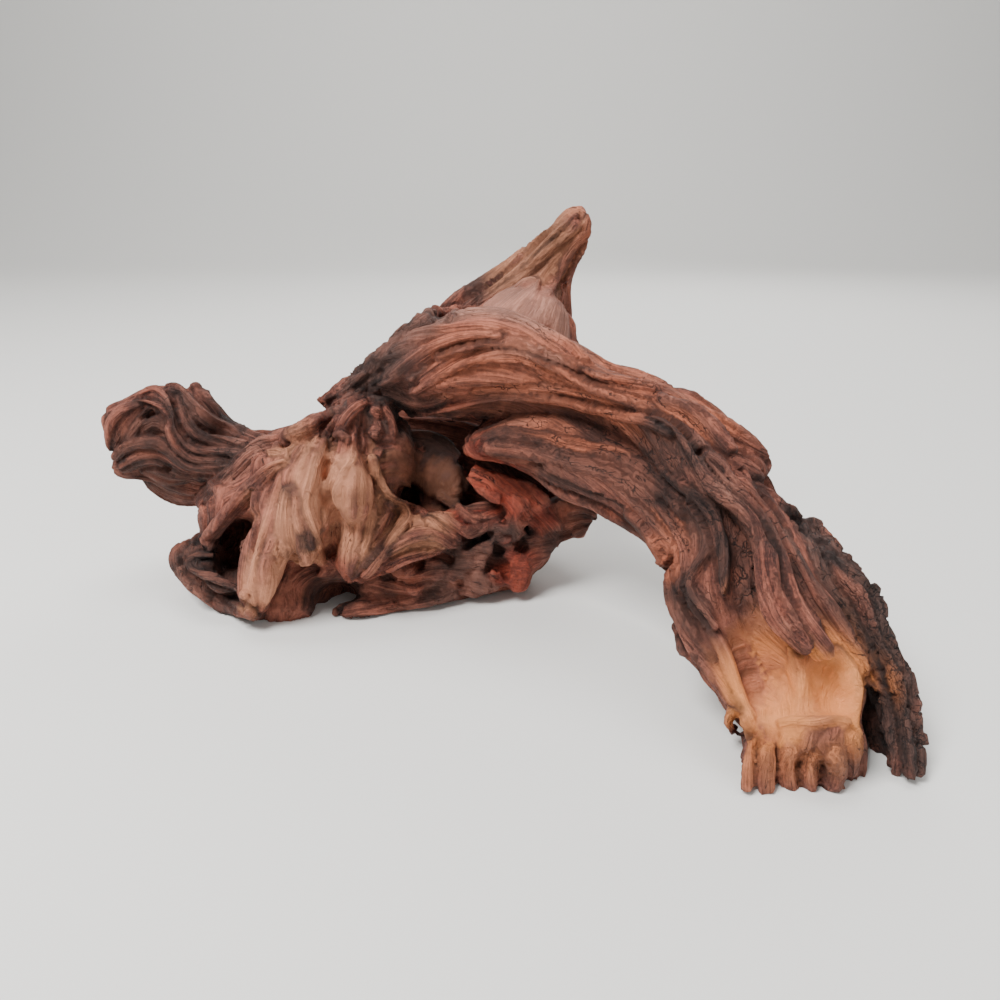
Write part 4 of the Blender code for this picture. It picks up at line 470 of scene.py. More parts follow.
        (240, 22, 5), (250, 12, 6), (262, -4, 7), (273, -18, 7), (283, -37, 7), (292, -56, 7),
        (302, -76, 7),
        (312, -94, 8), (324, -110, 9), (336, -128, 9), (348, -146, 8), (360, -160, 7), (367, -174, 5),
    ],
    "outer_edge": [
        (258, 17, 4), (271, 7, 6), (285, -5, 7), (297, -20, 6), (309, -37, 6), (327, -55, 6),
        (347, -72, 7), (366, -87, 7), (380, -105, 7), (383, -130, 6), (393, -150, 7), (405, -170, 6),
        (411, -198, 6), (417, -224, 6), (419, -250, 6), (420, -277, 4),
    ],
    "fin_inner": [
        (298, -26, 5), (310, -46, 6), (320, -68, 7), (330, -88, 7), (344, -106, 7), (356, -124, 7),
        (366, -144, 7),
        (376, -166, 7), (384, -190, 7), (389, -214, 7), (391, -238, 6), (393, -258, 5), (393, -275, 4),
    ],
    "fin_middle": [
        (318, -46, 6), (332, -62, 7), (345, -80, 7), (358, -94, 7), (366, -114, 7), (374, -134, 7),
        (385, -156, 7),
        (394, -180, 7), (400, -204, 7), (405, -228, 6), (409, -250, 6), (413, -273, 4),
    ],
    "fissure_edge": [
        (160, 30, 4), (178, 16, 5), (192, 4, 6), (203, -9, 7), (212, -22, 8), (218, -38, 8),
        (222, -56, 8), (223, -74, 7), (222, -90, 5), (223, -98, 3),
    ],
    "inner_1": [
        (188, -2, 5), (200, -18, 6), (206, -34, 6), (205, -50, 6), (197, -64, 6), (189, -76, 5),
        (188, -88, 5),
        (195, -100, 5), (206, -114, 5), (218, -130, 5),
    ],
    "inner_2": [(158, -6, 5), (171, -22, 6), (181, -38, 6), (185, -56, 6), (181, -74, 5), (178, -90, 5)],
    "inner_3": [(128, -14, 5), (144, -30, 5), (157, -47, 6), (167, -64, 5)],
    "inner_edge": [
        (168, -66, 5), (170, -86, 6), (176, -106, 7), (186, -127, 7), (198, -149, 7), (212, -169, 7),
        (226, -190, 7), (238, -208, 6),
    ],
    "scoop_edge": [
        (182, -74, 5), (192, -94, 6), (205, -114, 6), (217, -134, 6), (226, -154, 6), (233, -176, 6),
        (240, -197, 6), (250, -219, 6), (260, -240, 6), (268, -262, 5),
    ],
    "leg_right": [(340, -150, 6), (350, -168, 7), (357, -188, 7), (357, -208, 6), (354, -224, 6)],
    "toe_1": [(251, -238, 6), (248, -262, 7), (248, -291, 7)],
    "toe_2": [(268, -246, 5), (265, -270, 8), (266, -291, 8)],
    "toe_3": [(290, -250, 5), (286, -272, 9), (289, -292, 9)],
    "toe_4": [(312, -258, 5), (311, -276, 8), (314, -290, 6)],
    "toe_5": [(352, -236, 5), (354, -258, 6), (350, -280, 5)],
    "foot_knob": [(237, -208, 5), (230, -214, 6), (228, -224, 6), (233, -232, 5)],
    "lobe_4": [(-145, 30, 2), (-148, 12, 3), (-148, -14, 3)],
    "lobe_5": [(-138, 28, 2), (-138, 10, 3), (-139, -16, 3)],
    "lobe_1": [
        (-143, 84, 3), (-144, 64, 3), (-149, 42, 3), (-158, 22, 3.5), (-164, 8, 3.5), (-163, -4, 3),
    ],
    "lobe_2": [
        (-133, 90, 3), (-131, 66, 3), (-128, 44, 3), (-122, 27, 3.5), (-117, 10, 3.5), (-122, -10, 3),
    ],
    "lobe_3": [(-150, 30, 2), (-155, 10, 3), (-156, -10, 3)],
    "toe_6": [(334, -252, 5), (336, -270, 7), (332, -284, 5)],
    "foot_ledge": [(276, -224, 4), (292, -220, 5), (316, -221, 5), (338, -218, 4), (352, -222, 4)],
    "fan_strand_1": [(-196, -36, 5), (-194, -50, 6), (-191, -60, 4)],
    "lobe_6": [(-131, 26, 2), (-129, 8, 3), (-130, -14, 3)],
    "curl_10": [(-121, 39, 1.8), (-108, 42, 2), (-95, 38, 2), (-84, 28, 1.8)],
    "curl_11": [(-118, 61, 1.8), (-106, 62, 2), (-93, 57, 2), (-82, 47, 1.8)],
    "curl_12": [(-56, 46, 2), (-65, 34, 2.2), (-71, 20, 2.2), (-70, 6, 2)],
}
# How far, in mm, some strands stand out from the limbs towards the eye at their first and last point.
LIFTS = {
    "hole_rim": (2, 2), "sill_1": (1, 1), "sill_2": (1, 2), "ridge_1": (1, 2), "ridge_2": (1, 2),
    "fan_strand_1": (0, 2), "fan_knobs": (2, 3), "basin_rim": (1, 3), "lip": (2, 2),
    "leg_ridge_1": (2, 7), "leg_ridge_2": (1, 4), "tip_middle": (1, 4), "tip_low": (2, 2),
    "arm_ridge_1": (2, 0), "arm_ridge_3": (3, 0), "arm_ridge_4": (3, 0), "arm_lip_1": (3, 0),
    "arm_flap_1": (2, 2), "fissure_edge": (0, 3), "inner_1": (0, 2), "arm_eye": (-1, -1),
    "knot_top": (1, 1), "knot_middle": (1, 1), "knot_low": (1, 2), "foot_ledge": (2, 2),
    "toe_1": (4, 13), "toe_2": (3, 6),
}
STRAND_STEPS = 4
STRAND_SINK = 0.15
# Strands whose names start so are low ribs on the limbs, and have no bed pressed in around them.
LOW_STRANDS = (
    "front", "tongue", "fan_strand", "hang", "hub", "lobe", "curl", "orange", "upper", "lip_upper",
    "arch_lobe", "under",
    "horn", "scoop", "leg_right", "sill_3",
)
LOW_SINK = 0.72
STRAND_SWELL = 1.1
BED_REACH = 1.9
BED_DEPTH = 0.9
NEAREST_Y = 200.0
FARTHEST_Y = 430.0
SEARCH_STEP = 2.0

# Flat broken plates: how thick they are in mm, and their outline (a, b, y).
PLATES = {
    "slab": (
        8, [
            (-34, 20, 344), (-27, 38, 348), (-8, 31, 348), (12, 25, 347), (32, 17, 347), (46, 8, 348),
            (52, -4, 348),
            (43, -6, 347), (38, -17, 346), (34, -10, 346), (28, -26, 344), (22, -14, 344), (17, -24, 342),
            (12, -9, 342),
            (5, -12, 342), (1, 0, 343), (-8, -1, 342), (-12, 7, 343), (-22, 6, 343),
        ],
    ),
    "slab_step": (
        6, [(-30, 17, 341), (-12, 11, 340), (2, 6, 339), (0, -6, 338), (-10, -3, 339), (-22, 5, 340)],
    ),
    "slab_chip": (
        6, [(10, 8, 341), (30, 2, 342), (33, -14, 341), (24, -9, 340), (19, -20, 339), (12, -8, 340)],
    ),
    "wing": (
        18,
        [
            (36, -6, 351), (60, 2, 354), (96, -13, 360), (84, -37, 360), (62, -41, 354), (49, -38, 351),
            (40, -24, 350),
        ],
    ),
    "dark_block": (
        24,
        [(24, -33, 349), (44, -36, 350), (60, -40, 353), (50, -58, 352), (38, -70, 350), (31, -66, 348)],
    ),
    "red_block": (
        24,
        [
            (10, -45, 346), (26, -54, 346), (33, -72, 346), (26, -90, 345), (14, -92, 344), (7, -85, 343),
            (12, -70, 344),
            (0, -57, 345),
        ],
    ),
    "grey_block": (
        24, [(-7, -24, 343), (8, -14, 341), (23, -23, 342), (20, -40, 345), (5, -47, 344), (-8, -37, 342)],
    ),
    "checked_block": (
        22,
        [
            (-47, -54, 341), (-30, -47, 340), (-9, -40, 341), (-7, -58, 341), (-20, -73, 340),
            (-44, -71, 340),
        ],
    ),
    "low_block": (
        24,
        [
            (-36, -78, 342), (-18, -72, 341), (2, -70, 344), (5, -86, 344), (-8, -95, 343), (-28, -98, 342),
            (-38, -92, 341),
        ],
    ),
    "leaf": (
        8,
        [
            (-155, -19, 340), (-150, -60, 336), (-153, -80, 335), (-186, -79, 335), (-169, -48, 338),
            (-158, -34, 340),
        ],
    ),
}

# Broken blocks stick out around these spots: (a, b, how far around, how many, size in mm).
CRUMBS = [
    (-84, -84, 14, 5, 8), (-52, -80, 14, 6, 8), (30, -30, 7, 3, 5), (-10, -56, 8, 3, 6),
    (66, -26, 12, 4, 6),
    (14, -64, 6, 2, 6), (-24, -88, 8, 3, 6),
]
CRUMB_TURN = 0.45

# Strands on the side that isn't seen: how many, the space between them, their length and radius in mm.
WILD_COUNT = 170
WILD_GAP = 8.5
WILD_LENGTH = (45.0, 120.0)
WILD_RADIUS = (2.6, 5.6)
WILD_STEP = 3.0
WILD_SINK = 0.25

# Hollows are cut into the limbs before the strands bridge them. Each point is (a, b, y, radius in mm).
HOLLOWS = {
    "left_cavity": [
        (-250, -14, 322, 4), (-254, -28, 334, 8), (-264, -46, 342, 12), (-270, -64, 340, 10),
        (-273, -74, 332, 6),
    ],
    "left_cavity_back": [(-256, -28, 352, 10), (-264, -44, 362, 12), (-268, -60, 356, 10)],
    "groove": [
        (-174, 56, 336, 2), (-170, 22, 330, 3), (-171, -14, 328, 4), (-168, -40, 330, 5),
        (-166, -56, 334, 5),
    ],
    "beside_hang": [
        (-182, -106, 330, 3), (-174, -100, 338, 6), (-162, -94, 346, 9), (-150, -88, 352, 9),
        (-138, -84, 352, 6),
    ],
    "knot_gap": [(-158, 60, 336, 2), (-159, 52, 336, 3), (-162, 44, 334, 2)],
    "under_sill": [
        (-136, -90, 334, 5), (-108, -78, 336, 7), (-76, -68, 338, 7), (-44, -60, 342, 6),
        (-14, -44, 344, 5),
    ],
    "bowl_hole": [(-91, 6, 330, 6), (-91, 5, 366, 6), (-90, 0, 384, 5)],
    "recess": [
        (-104, 74, 356, 5), (-84, 76, 364, 9), (-58, 72, 370, 11), (-32, 62, 372, 11), (-6, 48, 370, 10),
        (20, 34, 366, 7),
    ],
    "under_lip": [
        (-60, 82, 330, 3), (-24, 84, 326, 5), (12, 86, 324, 4), (48, 84, 318, 3), (90, 76, 310, 2),
    ],
    "arch_pit": [(-54, 178, 346, 3), (-50, 177, 358, 3.5), (-47, 175, 368, 2.5)],
    "horn_knot": [(64, 214, 378, 3), (63, 214, 392, 3)],
    "fin_gap": [(366, -190, 234, 3), (370, -212, 230, 4), (378, -236, 226, 4)],
}

# Broad dents in the skin: (a, b, radius on the sight plane, depth in mm).
DENTS = {
    "scoop": [
        (222, -100, 16, 2), (231, -118, 24, 4), (244, -139, 31, 6.5), (257, -163, 35, 8.5),
        (268, -187, 33, 9.5),
    ],
    "facet": [(324, -170, 17, 2), (332, -184, 21, 4.5), (336, -203, 18, 5.5)],
    "belly": [(-300, -30, 8, 2), (-292, -56, 12, 3)],
}

# Slits are cut after the strands are on: (a, b, radius on the sight plane), and how deep they go in mm.
SLITS = {
    "leg_fissure": (
        20,
        [
            (212, 6, 2), (223, -12, 4), (233, -31, 7), (238, -50, 8), (237, -74, 8.5), (239, -94, 8),
            (247, -114, 6),
        ],
    ),
    "arm_groove": (
        7,
        [
            (-336, 110, 2), (-328, 103, 3), (-321, 88, 3), (-319, 74, 3), (-311, 61, 3), (-299, 55, 2.5),
            (-282, 54, 2),
        ],
    ),
    "arm_fold": (9, [(-366, 72, 2), (-356, 82, 3.5), (-346, 87, 4), (-338, 82, 3), (-334, 75, 2)]),
    "arm_fold_low": (8, [(-364, 62, 2), (-352, 63, 3), (-340, 65, 3), (-334, 62, 2)]),
    "fin_slot": (30, [(374, -244, 4), (378, -254, 6), (383, -264, 5), (387, -272, 3)]),
}
SLIT_LAYERS = 4
BEAD_GAP = 0.35
HOLLOW_WALL = 3.0

# Rough places: (a, b, y, reach in mm), with the size and height of their blocks in mm.
BARK = {
    "arch_left": (
        7.0, 1.8,
        [
            (-158, 112, 368, 16), (-130, 130, 370, 22), (-100, 152, 372, 24), (-66, 172, 378, 22),
            (-35, 180, 382, 14),
        ],
    ),
    "fin": (
        5.0,
        1.7,
        [
            (300, -20, 282, 12), (322, -45, 278, 16), (340, -75, 270, 18), (354, -105, 262, 18),
            (370, -138, 254, 18),
            (388, -170, 246, 16), (400, -205, 240, 14), (408, -240, 232, 12),
        ],
    ),
    "bowl_front": (
        8.0, 1.8, [(-95, -88, 344, 10), (-62, -80, 344, 13), (-26, -64, 342, 12), (-14, -84, 343, 12)],
    ),
}

# Worn smooth places: (a, b, y, reach in mm).
SMOOTH = {
    "scoop": [
        (236, -140, 240, 12), (256, -172, 232, 15), (270, -200, 226, 15), (325, -185, 234, 13),
        (330, -208, 228, 12),
    ],
    "lobe": [(-148, 20, 326, 12), (-148, -4, 324, 12)],
    "mound": [(0, 175, 366, 18), (30, 170, 362, 20), (55, 155, 356, 16)],
    "belly": [(-215, -100, 345, 22), (-168, -60, 338, 14)],
    "bowl": [(-100, 35, 356, 14), (-60, 25, 362, 14)],
    "tongue": [(-188, 20, 332, 12), (-184, -6, 328, 12), (-212, -20, 326, 12), (-230, -80, 322, 14)],
    "leaf": [(-165, -66, 336, 12)],
}
SMOOTH_SHARE = 0.7

# The fibres' field, and the relief that follows it: (ridge width, ridge length, height), in mm.
CELL = 5.0
TWIST = 0.22
STRAND_SAY = 5.0
RIDGES = ((9.0, 90.0, 1.4), (4.4, 70.0, 1.1))
WOBBLE = 2.0
WOBBLE_SIZE = 24.0
STRAND_HOLD = 1.2
BLOCK_STRETCH = 1.6
BLOCK_EDGE = 0.2
SEAM_WIDTH = 1.9
SEAM_DEPTH = 1.0
SEAM_SIZE = 2.6
SEAM_REACH = 9.0


def seen(a, b, y):
    """The point, in mm, that lies y mm in front of the eye and is seen at (a, b) on the sight plane."""
    forward = math.cos(EYE_TILT) + b / SIGHT_PLANE * math.sin(EYE_TILT)
    down = math.sin(EYE_TILT) - b / SIGHT_PLANE * math.cos(EYE_TILT)
    reach = y / forward
    return np.array([a / SIGHT_PLANE * reach, y, EYE[2] - down * reach])


def real_size(size, b, y):
    """A size on the sight plane at height b, in mm at distance y."""
    return size / SIGHT_PLANE * y / (math.cos(EYE_TILT) + b / SIGHT_PLANE * math.sin(EYE_TILT))


def spline(rows, steps):
    """Catmull-Rom rows through the given ones."""
    rows = np.asarray(rows, float)
    padded = np.vstack([2 * rows[0] - rows[1], rows, 2 * rows[-1] - rows[-2]])
    made = []
    for i in range(len(rows) - 1):
        p0, p1, p2, p3 = padded[i : i + 4]
        for k in range(steps):
            t = k / steps
            linear = 2 * p1 + (p2 - p0) * t
            square = (2 * p0 - 5 * p1 + 4 * p2 - p3) * t**2
            cubic = (3 * p1 - p0 - 3 * p2 + p3) * t**3
            made.append((linear + square + cubic) / 2)
    made.append(rows[-1])
    return np.array(made)


def limb_rings(sections):
    """The rings of one limb, in mm, with rounded ends."""
    rows = spline([[*seen(*one), *seen(*other), half] for one, other, half in sections], LIMB_STEPS)
    middle = (rows[:, :3] + rows[:, 3:6]) / 2
    across = (rows[:, 3:6] - rows[:, :3]) / 2
    along = np.gradient(middle, axis=0)
    deep = np.cross(across, along)
    deep /= np.linalg.norm(deep, axis=1)[:, None]
    along = np.cross(deep, across)
    along /= np.linalg.norm(along, axis=1)[:, None]
    turn = np.arange(LIMB_SIDES) * 2 * math.pi / LIMB_SIDES

    def ring(i, size, shift):
        half = rows[i, 6]
        oval = np.outer(np.cos(turn), across[i]) + np.outer(np.sin(turn), deep[i] * half)
        return middle[i] + along[i] * shift * half * END_REACH + oval * size

    rings = [ring(0, size, -out) for out, size in ROUND_END[::-1]]
    rings += [ring(i, 1.0, 0.0) for i in range(len(rows))]
    rings += [ring(-1, size, out) for out, size in ROUND_END]
    return np.array(rings)


def loft(rings):
    """The faces of a closed mesh through the rings' points."""
    count, sides = rings.shape[:2]
    faces = []
    for i in range(count - 1):
        for k in range(sides):
            n = (k + 1) % sides
            faces.append((i * sides + k, i * sides + n, (i + 1) * sides + n, (i + 1) * sides + k))
    faces.append(tuple(reversed(range(sides))))
    faces.append(tuple(range((count - 1) * sides, count * sides)))
    return faces


def new_object(name, mesh, collection):
    made = bpy.data.objects.new(name, mesh)
    collection.objects.link(made)
    return made


def evaluated_mesh(source):
    """A mesh of the object as its modifiers leave it."""
    graph = bpy.context.evaluated_depsgraph_get()
    return bpy.data.meshes.new_from_object(source.evaluated_get(graph))


def apply_modifiers(target):
    """Replace the object's mesh by what its modifiers make of it."""
    mesh = evaluated_mesh(target)
    old = target.data
    target.modifiers.clear()
    target.data = mesh
    bpy.data.meshes.remove(old)


def build_limbs(collection):
    """All limbs as overlapping closed lofts in one object."""
    points, faces, base = [], [], 0
    for sections in LIMBS.values():
        rings = limb_rings(sections)
        points.append(rings.reshape(-1, 3))
        faces += [tuple(i + base for i in face) for face in loft(rings)]
        base += len(points[-1])
    mesh = bpy.data.meshes.new("limbs")
    mesh.from_pydata((np.vstack(points) * MM).tolist(), [], faces)
    shape = bmesh.new()
    shape.from_mesh(mesh)
    bmesh.ops.recalc_face_normals(shape, faces=shape.faces)
    shape.to_mesh(mesh)
    shape.free()
    return new_object("limbs", mesh, collection)


def fuse(target, voxel):
    """Fuse what overlaps in the object into one closed skin."""
    remesh = target.modifiers.new("fuse", "REMESH")
    remesh.mode = "VOXEL"
    remesh.voxel_size = voxel * MM
    apply_modifiers(target)


def smooth(target, rounds, factor=0.5):
    mod = target.modifiers.new("smooth", "SMOOTH")
    mod.iterations = rounds
    mod.factor = factor
    apply_modifiers(target)


def build_tubes(name, routes, collection):
    """Tapered round tubes, each through its (point, radius) rows in mm, as one mesh object."""
    curve = bpy.data.curves.new(name, "CURVE")
    curve.dimensions = "3D"
    curve.bevel_depth = MM
    curve.bevel_resolution = 3
    curve.use_fill_caps = True
    for points, radii in routes:
        line = curve.splines.new("POLY")
        line.points.add(len(points) - 1)
        for node, point, radius in zip(line.points, points, radii):
            node.co = (*(point * MM), 1.0)
            node.radius = radius
    guide = new_object(name + "_curve", curve, collection)
    made = new_object(name, evaluated_mesh(guide), collection)
    bpy.data.objects.remove(guide)
    shape = bmesh.new()
    shape.from_mesh(made.data)
    bmesh.ops.remove_doubles(shape, verts=shape.verts, dist=0.00001)
    bmesh.ops.recalc_face_normals(shape, faces=shape.faces)
    shape.to_mesh(made.data)
    shape.free()
    return made


def skin_of(target):
    return BVHTree.FromPolygons(
        [v.co.copy() for v in target.data.vertices], [tuple(p.vertices) for p in target.data.polygons]
    )


def depth_on(skin, a, b):
    """How far in front of the eye, in mm, the skin is seen at (a, b), or is passed there most closely."""
    sight = Vector(seen(a, b, 1.0) - EYE)
    hit = skin.ray_cast(Vector(EYE * MM), sight.normalized())[0]
    if hit:
        return hit.y / MM
    tries = np.arange(NEAREST_Y, FARTHEST_Y, SEARCH_STEP)
    return min(tries, key=lambda y: skin.find_nearest(Vector(seen(a, b, y) * MM))[3])


def drape(route, skin, sink, lift=(0, 0)):
    """Points and radii, in mm, of a route laid on the skin, sunk by a part of its radius and lifted in mm."""
    rows = spline(route, STRAND_STEPS)
    depths = np.array([depth_on(skin, a, b) for a, b, _ in rows])
    for _ in range(2):
        depths[1:-1] = (depths[:-2] + 2 * depths[1:-1] + depths[2:]) / 4
    depths -= np.linspace(*lift, len(rows))
    points, radii = [], []
    for (a, b, size), y in zip(rows, depths):
        radius = real_size(size, b, y) * STRAND_SWELL
        points.append(seen(a, b, y + sink * radius))
        radii.append(max(radius, 0.4))
    return np.array(points), np.array(radii)


def press_beds(target, routes):
    """Press the skin in beside and under each strand, so that the strand stands out of it."""
    every = np.vstack([points for points, _ in routes])
    sizes = np.concatenate([radii for _, radii in routes])
    tree = KDTree(len(every))
    for i, point in enumerate(every):
        tree.insert(point, i)
    tree.balance()
    points = mesh_points(target.data)
    depth = np.zeros(len(points))
    for i, point in enumerate(points):
        _, index, far = tree.find(point)
        depth[i] = np.clip(BED_REACH - far / sizes[index], 0, 1) * sizes[index] * BED_DEPTH
    set_points(target.data, points - mesh_normals(target.data) * depth[:, None])


def build_plates(collection):
    """The broken plates, each a slice between its outline and the same outline deeper in."""
    points, faces, base = [], [], 0
    for thickness, outline in PLATES.values():
        front = np.array([seen(*spot) for spot in outline])
        inward = front - EYE
        inward /= np.linalg.norm(inward, axis=1)[:, None]
        rings = np.array([front, front + inward * thickness])
        points.append(rings.reshape(-1, 3))
        faces += [tuple(i + base for i in face) for face in loft(rings)]
        base += len(points[-1])
    mesh = bpy.data.meshes.new("plates")
    mesh.from_pydata((np.vstack(points) * MM).tolist(), [], faces)
    shape = bmesh.new()
    shape.from_mesh(mesh)
    bmesh.ops.recalc_face_normals(shape, faces=shape.faces)
    shape.to_mesh(mesh)
    shape.free()
    return new_object("plates", mesh, collection)


def build_crumbs(skin, collection):
    """Tilted blocks, half sunk in the skin, around the spots where the wood has crumbled."""
    rng = np.random.default_rng(5)
    shape = bmesh.new()
    for a, b, reach, count, size in CRUMBS:
        for _ in range(count):
            spot = np.array([a, b]) + rng.uniform(-reach, reach, 2)
            place = Vector(seen(*spot, depth_on(skin, *spot)) * MM)
            turn = Euler(rng.uniform(-CRUMB_TURN, CRUMB_TURN, 3))
            scale = Vector(size * rng.uniform(0.5, 1.3, 3) * MM)
            bmesh.ops.create_cube(shape, size=1.0, matrix=Matrix.LocRotScale(place, turn, scale))
    mesh = bpy.data.meshes.new("crumbs")
    shape.to_mesh(mesh)
    shape.free()
    return new_object("crumbs", mesh, collection)


def follow(spot, skin, grain, length):
    """A line over the skin that follows the fibres both ways from a spot, with its inward directions."""
    halves = []
    for way in (1, -1):
        line = []
        heading = grain.at(spot[None])[0] * way
        ahead = spot
        for _ in range(int(length / 2 / WILD_STEP)):
            found, normal, _, _ = skin.find_nearest(Vector(ahead * MM))
            ahead = np.array(found) / MM
            if np.dot(ahead - EYE, normal) < -0.3 * np.linalg.norm(ahead - EYE):
                break
            line.append((*ahead, *normal))
            turned = grain.at(ahead[None])[0]
            heading = turned if np.dot(turned, heading) >= 0 else -turned
            ahead = ahead + heading * WILD_STEP
        halves.append(line)
    return np.array(halves[1][:0:-1] + halves[0])


def wild_routes(target, skin, grain, taken):
    """Strands from random spots behind the wood's outline, as the eye sees it, where none is near yet."""
    rng = np.random.default_rng(3)
    points = mesh_points(target.data)
    sight = points - EYE
    facing = np.sum(sight * mesh_normals(target.data), axis=1) / np.linalg.norm(sight, axis=1)
    starts = rng.permutation(np.flatnonzero((facing > 0.0) & (points[:, 2] > 4.0)))
    taken = np.vstack([points for points, _ in taken])
    routes = []
    for start in starts[:4000]:
        if len(routes) == WILD_COUNT:
            break
        if np.min(np.linalg.norm(taken - points[start], axis=1)) < WILD_GAP:
            continue
        line = follow(points[start], skin, grain, rng.uniform(*WILD_LENGTH))
        if len(line) < 6:
            continue
        radius = rng.uniform(*WILD_RADIUS) * np.sin(np.linspace(0.25, math.pi - 0.25, len(line))) ** 0.6
        centres = line[:, :3] - line[:, 3:] * (radius * WILD_SINK)[:, None]
        routes.append((centres, radius))
        taken = np.vstack([taken, line[:, :3]])
    return routes


def dent_routes(skin):
    """Round tubes in front of the skin that reach into it as deep as the dents."""
    routes = []
    for rows in DENTS.values():
        points, radii = [], []
        for a, b, size, deep in spline(rows, STRAND_STEPS):
            y = depth_on(skin, a, b)
            radius = real_size(size, b, y)
            place = seen(a, b, y)
            sight = (place - EYE) / np.linalg.norm(place - EYE)
            points.append(place - sight * (radius - deep))
            radii.append(radius)
        routes.append((np.array(points), np.array(radii)))
    return routes


def hollow_routes():
    routes = []
    for rows in HOLLOWS.values():
        rows = spline(rows, STRAND_STEPS)
        routes.append((np.array([seen(a, b, y) for a, b, y, _ in rows]), rows[:, 3]))
    return routes


def beads(points, sizes):
    """Balls strung closely along a route, so that together they are a tube, the nearest to the eye first."""
    centres, radii = [], []
    for k in range(len(points) - 1):
        run = np.linalg.norm(points[k + 1] - points[k])
        count = math.ceil(run / (BEAD_GAP * min(sizes[k], sizes[k + 1])))
        part = np.arange(count)[:, None] / count
        centres.append(points[k] + (points[k + 1] - points[k]) * part)
        radii.append(sizes[k] + (sizes[k + 1] - sizes[k]) * part[:, 0])
    centres, radii = np.vstack(centres), np.concatenate(radii)
    order = np.argsort(np.linalg.norm(centres - EYE, axis=1))
    return centres[order], radii[order]


def press_in(target, routes):
    """Push the skin away from the eye until the round tubes along the routes are hollow."""
    points = mesh_points(target.data)
    sight = points - EYE
    sight /= np.linalg.norm(sight, axis=1)[:, None]
    wall = np.where(np.sum(sight * mesh_normals(target.data), axis=1) > 0, HOLLOW_WALL, 0.0)
    for route in routes:
        centres, radii = beads(*route)
        reach = radii.max() + HOLLOW_WALL
        inside = (points > centres.min(axis=0) - reach) & (points < centres.max(axis=0) + reach)
        near = np.flatnonzero(inside.all(axis=1))
        spots, ways, walls = points[near], sight[near], wall[near]
        for centre, radius in zip(centres, radii):
            off = spots - centre
            along = np.sum(off * ways, axis=1)
            room = (radius + walls) ** 2 - np.sum(off * off, axis=1)
            push = np.sqrt(np.maximum(along**2 + room, 0.0)) - along
            spots += ways * np.where(room > 0, push, 0.0)[:, None]
        points[near] = spots
    set_points(target.data, points)


def slit_routes(skin):
    """Each slit is a few tubes, one behind the other, that get thinner as they go in."""
    routes = []
    for depth, rows in SLITS.values():
        points, radii = drape(rows, skin, 0.0)
        inward = points - EYE
        inward /= np.linalg.norm(inward, axis=1)[:, None]
        for layer in range(SLIT_LAYERS):
            part = layer / (SLIT_LAYERS - 1)
            routes.append((points + inward * depth * part, radii * (1.0 - 0.35 * part)))
    return routes


def join(target, other):
    """Add the other object's mesh to the target's."""
    shape = bmesh.new()
    shape.from_mesh(target.data)
    shape.from_mesh(other.data)
    shape.to_mesh(target.data)
    shape.free()
    bpy.data.objects.remove(other)


class Grain:
    """The direction of the fibres everywhere in the wood, on a grid of cells."""

    def __init__(self, low, high):
        self.low = low - 4 * CELL
        self.shape = np.ceil((high - self.low) / CELL).astype(int) + 5
        self.sums = np.zeros((*self.shape, 3, 3))

    def add(self, points, say):
        """Let the fibres follow a line of points."""
        ways = np.gradient(points, axis=0)
        self.add_ways(points, ways, say)

    def add_ways(self, points, ways, say):
        ways = ways / np.maximum(np.linalg.norm(ways, axis=1), 1e-6)[:, None]
        cells = self.cell_of(points)
        np.add.at(self.sums, tuple(cells.T), say * ways[:, :, None] * ways[:, None, :])

    def cell_of(self, points):
        cells = np.floor((points - self.low) / CELL).astype(int)
        return np.clip(cells, 0, self.shape - 1)

    def settle(self):
        """Spread what the lines say over the cells around them, and keep the main direction."""
        spread = self.sums
        total = np.zeros_like(spread)
        weight = 1.0
        for _ in range(5):
            for _ in range(2):
                for axis in range(3):
                    spread = (np.roll(spread, 1, axis) + 2 * spread + np.roll(spread, -1, axis)) / 4
            total += weight * spread
            weight *= 0.3
        flat = total.reshape(-1, 3, 3)
        size = np.maximum(np.trace(flat, axis1=1, axis2=2), 1e-12)
        _, ways = np.linalg.eigh(flat / size[:, None, None])
        self.ways = ways[:, :, 2].reshape(*self.shape, 3)

    def at(self, points):
        return self.ways[tuple(self.cell_of(points).T)]


def soft_noise(points, lattice):
    """Smooth noise between the values of a repeating lattice."""
    size = lattice.shape[0]
    cell = np.floor(points).astype(int)
    part = points - cell
    part = part * part * (3 - 2 * part)
    total = np.zeros(len(points))
    for corner in range(8):
        step = np.array([corner & 1, corner >> 1 & 1, corner >> 2])
        weight = np.prod(np.where(step, part, 1 - part), axis=1)
        total += weight * lattice[tuple(((cell + step) % size).T)]
    return total


def fibre_noise(values, width, length, seed):
    """Seeded noise over the fibre coordinates, of the given width across and length along them, in mm."""
    lattice = np.random.default_rng(seed).standard_normal((32, 32, 32))
    noise = soft_noise(values / (width, width, length), lattice)
    return noise / np.std(noise)


def blocks(values, size, stretch, seed):
    """Cracked blocks, longer along the fibres: the gap to the next block, and the block's own height."""
    rng = np.random.default_rng(seed)
    jitter = rng.random((32, 32, 32, 3))
    height = rng.random((32, 32, 32))
    spots = values / (size, size, size * stretch)
    base = np.floor(spots).astype(int)
    near = np.full(len(values), 9.0)
    next_near = np.full(len(values), 9.0)
    own = np.zeros(len(values))
    for corner in range(27):
        cell = base + np.array([corner % 3 - 1, corner // 3 % 3 - 1, corner // 9 - 1])
        key = tuple((cell % 32).T)
        far = np.linalg.norm(cell + jitter[key] - spots, axis=1)
        closer = far < near
        next_near = np.where(closer, near, np.minimum(next_near, far))
        own = np.where(closer, height[key], own)
        near = np.minimum(near, far)
    return next_near - near, own


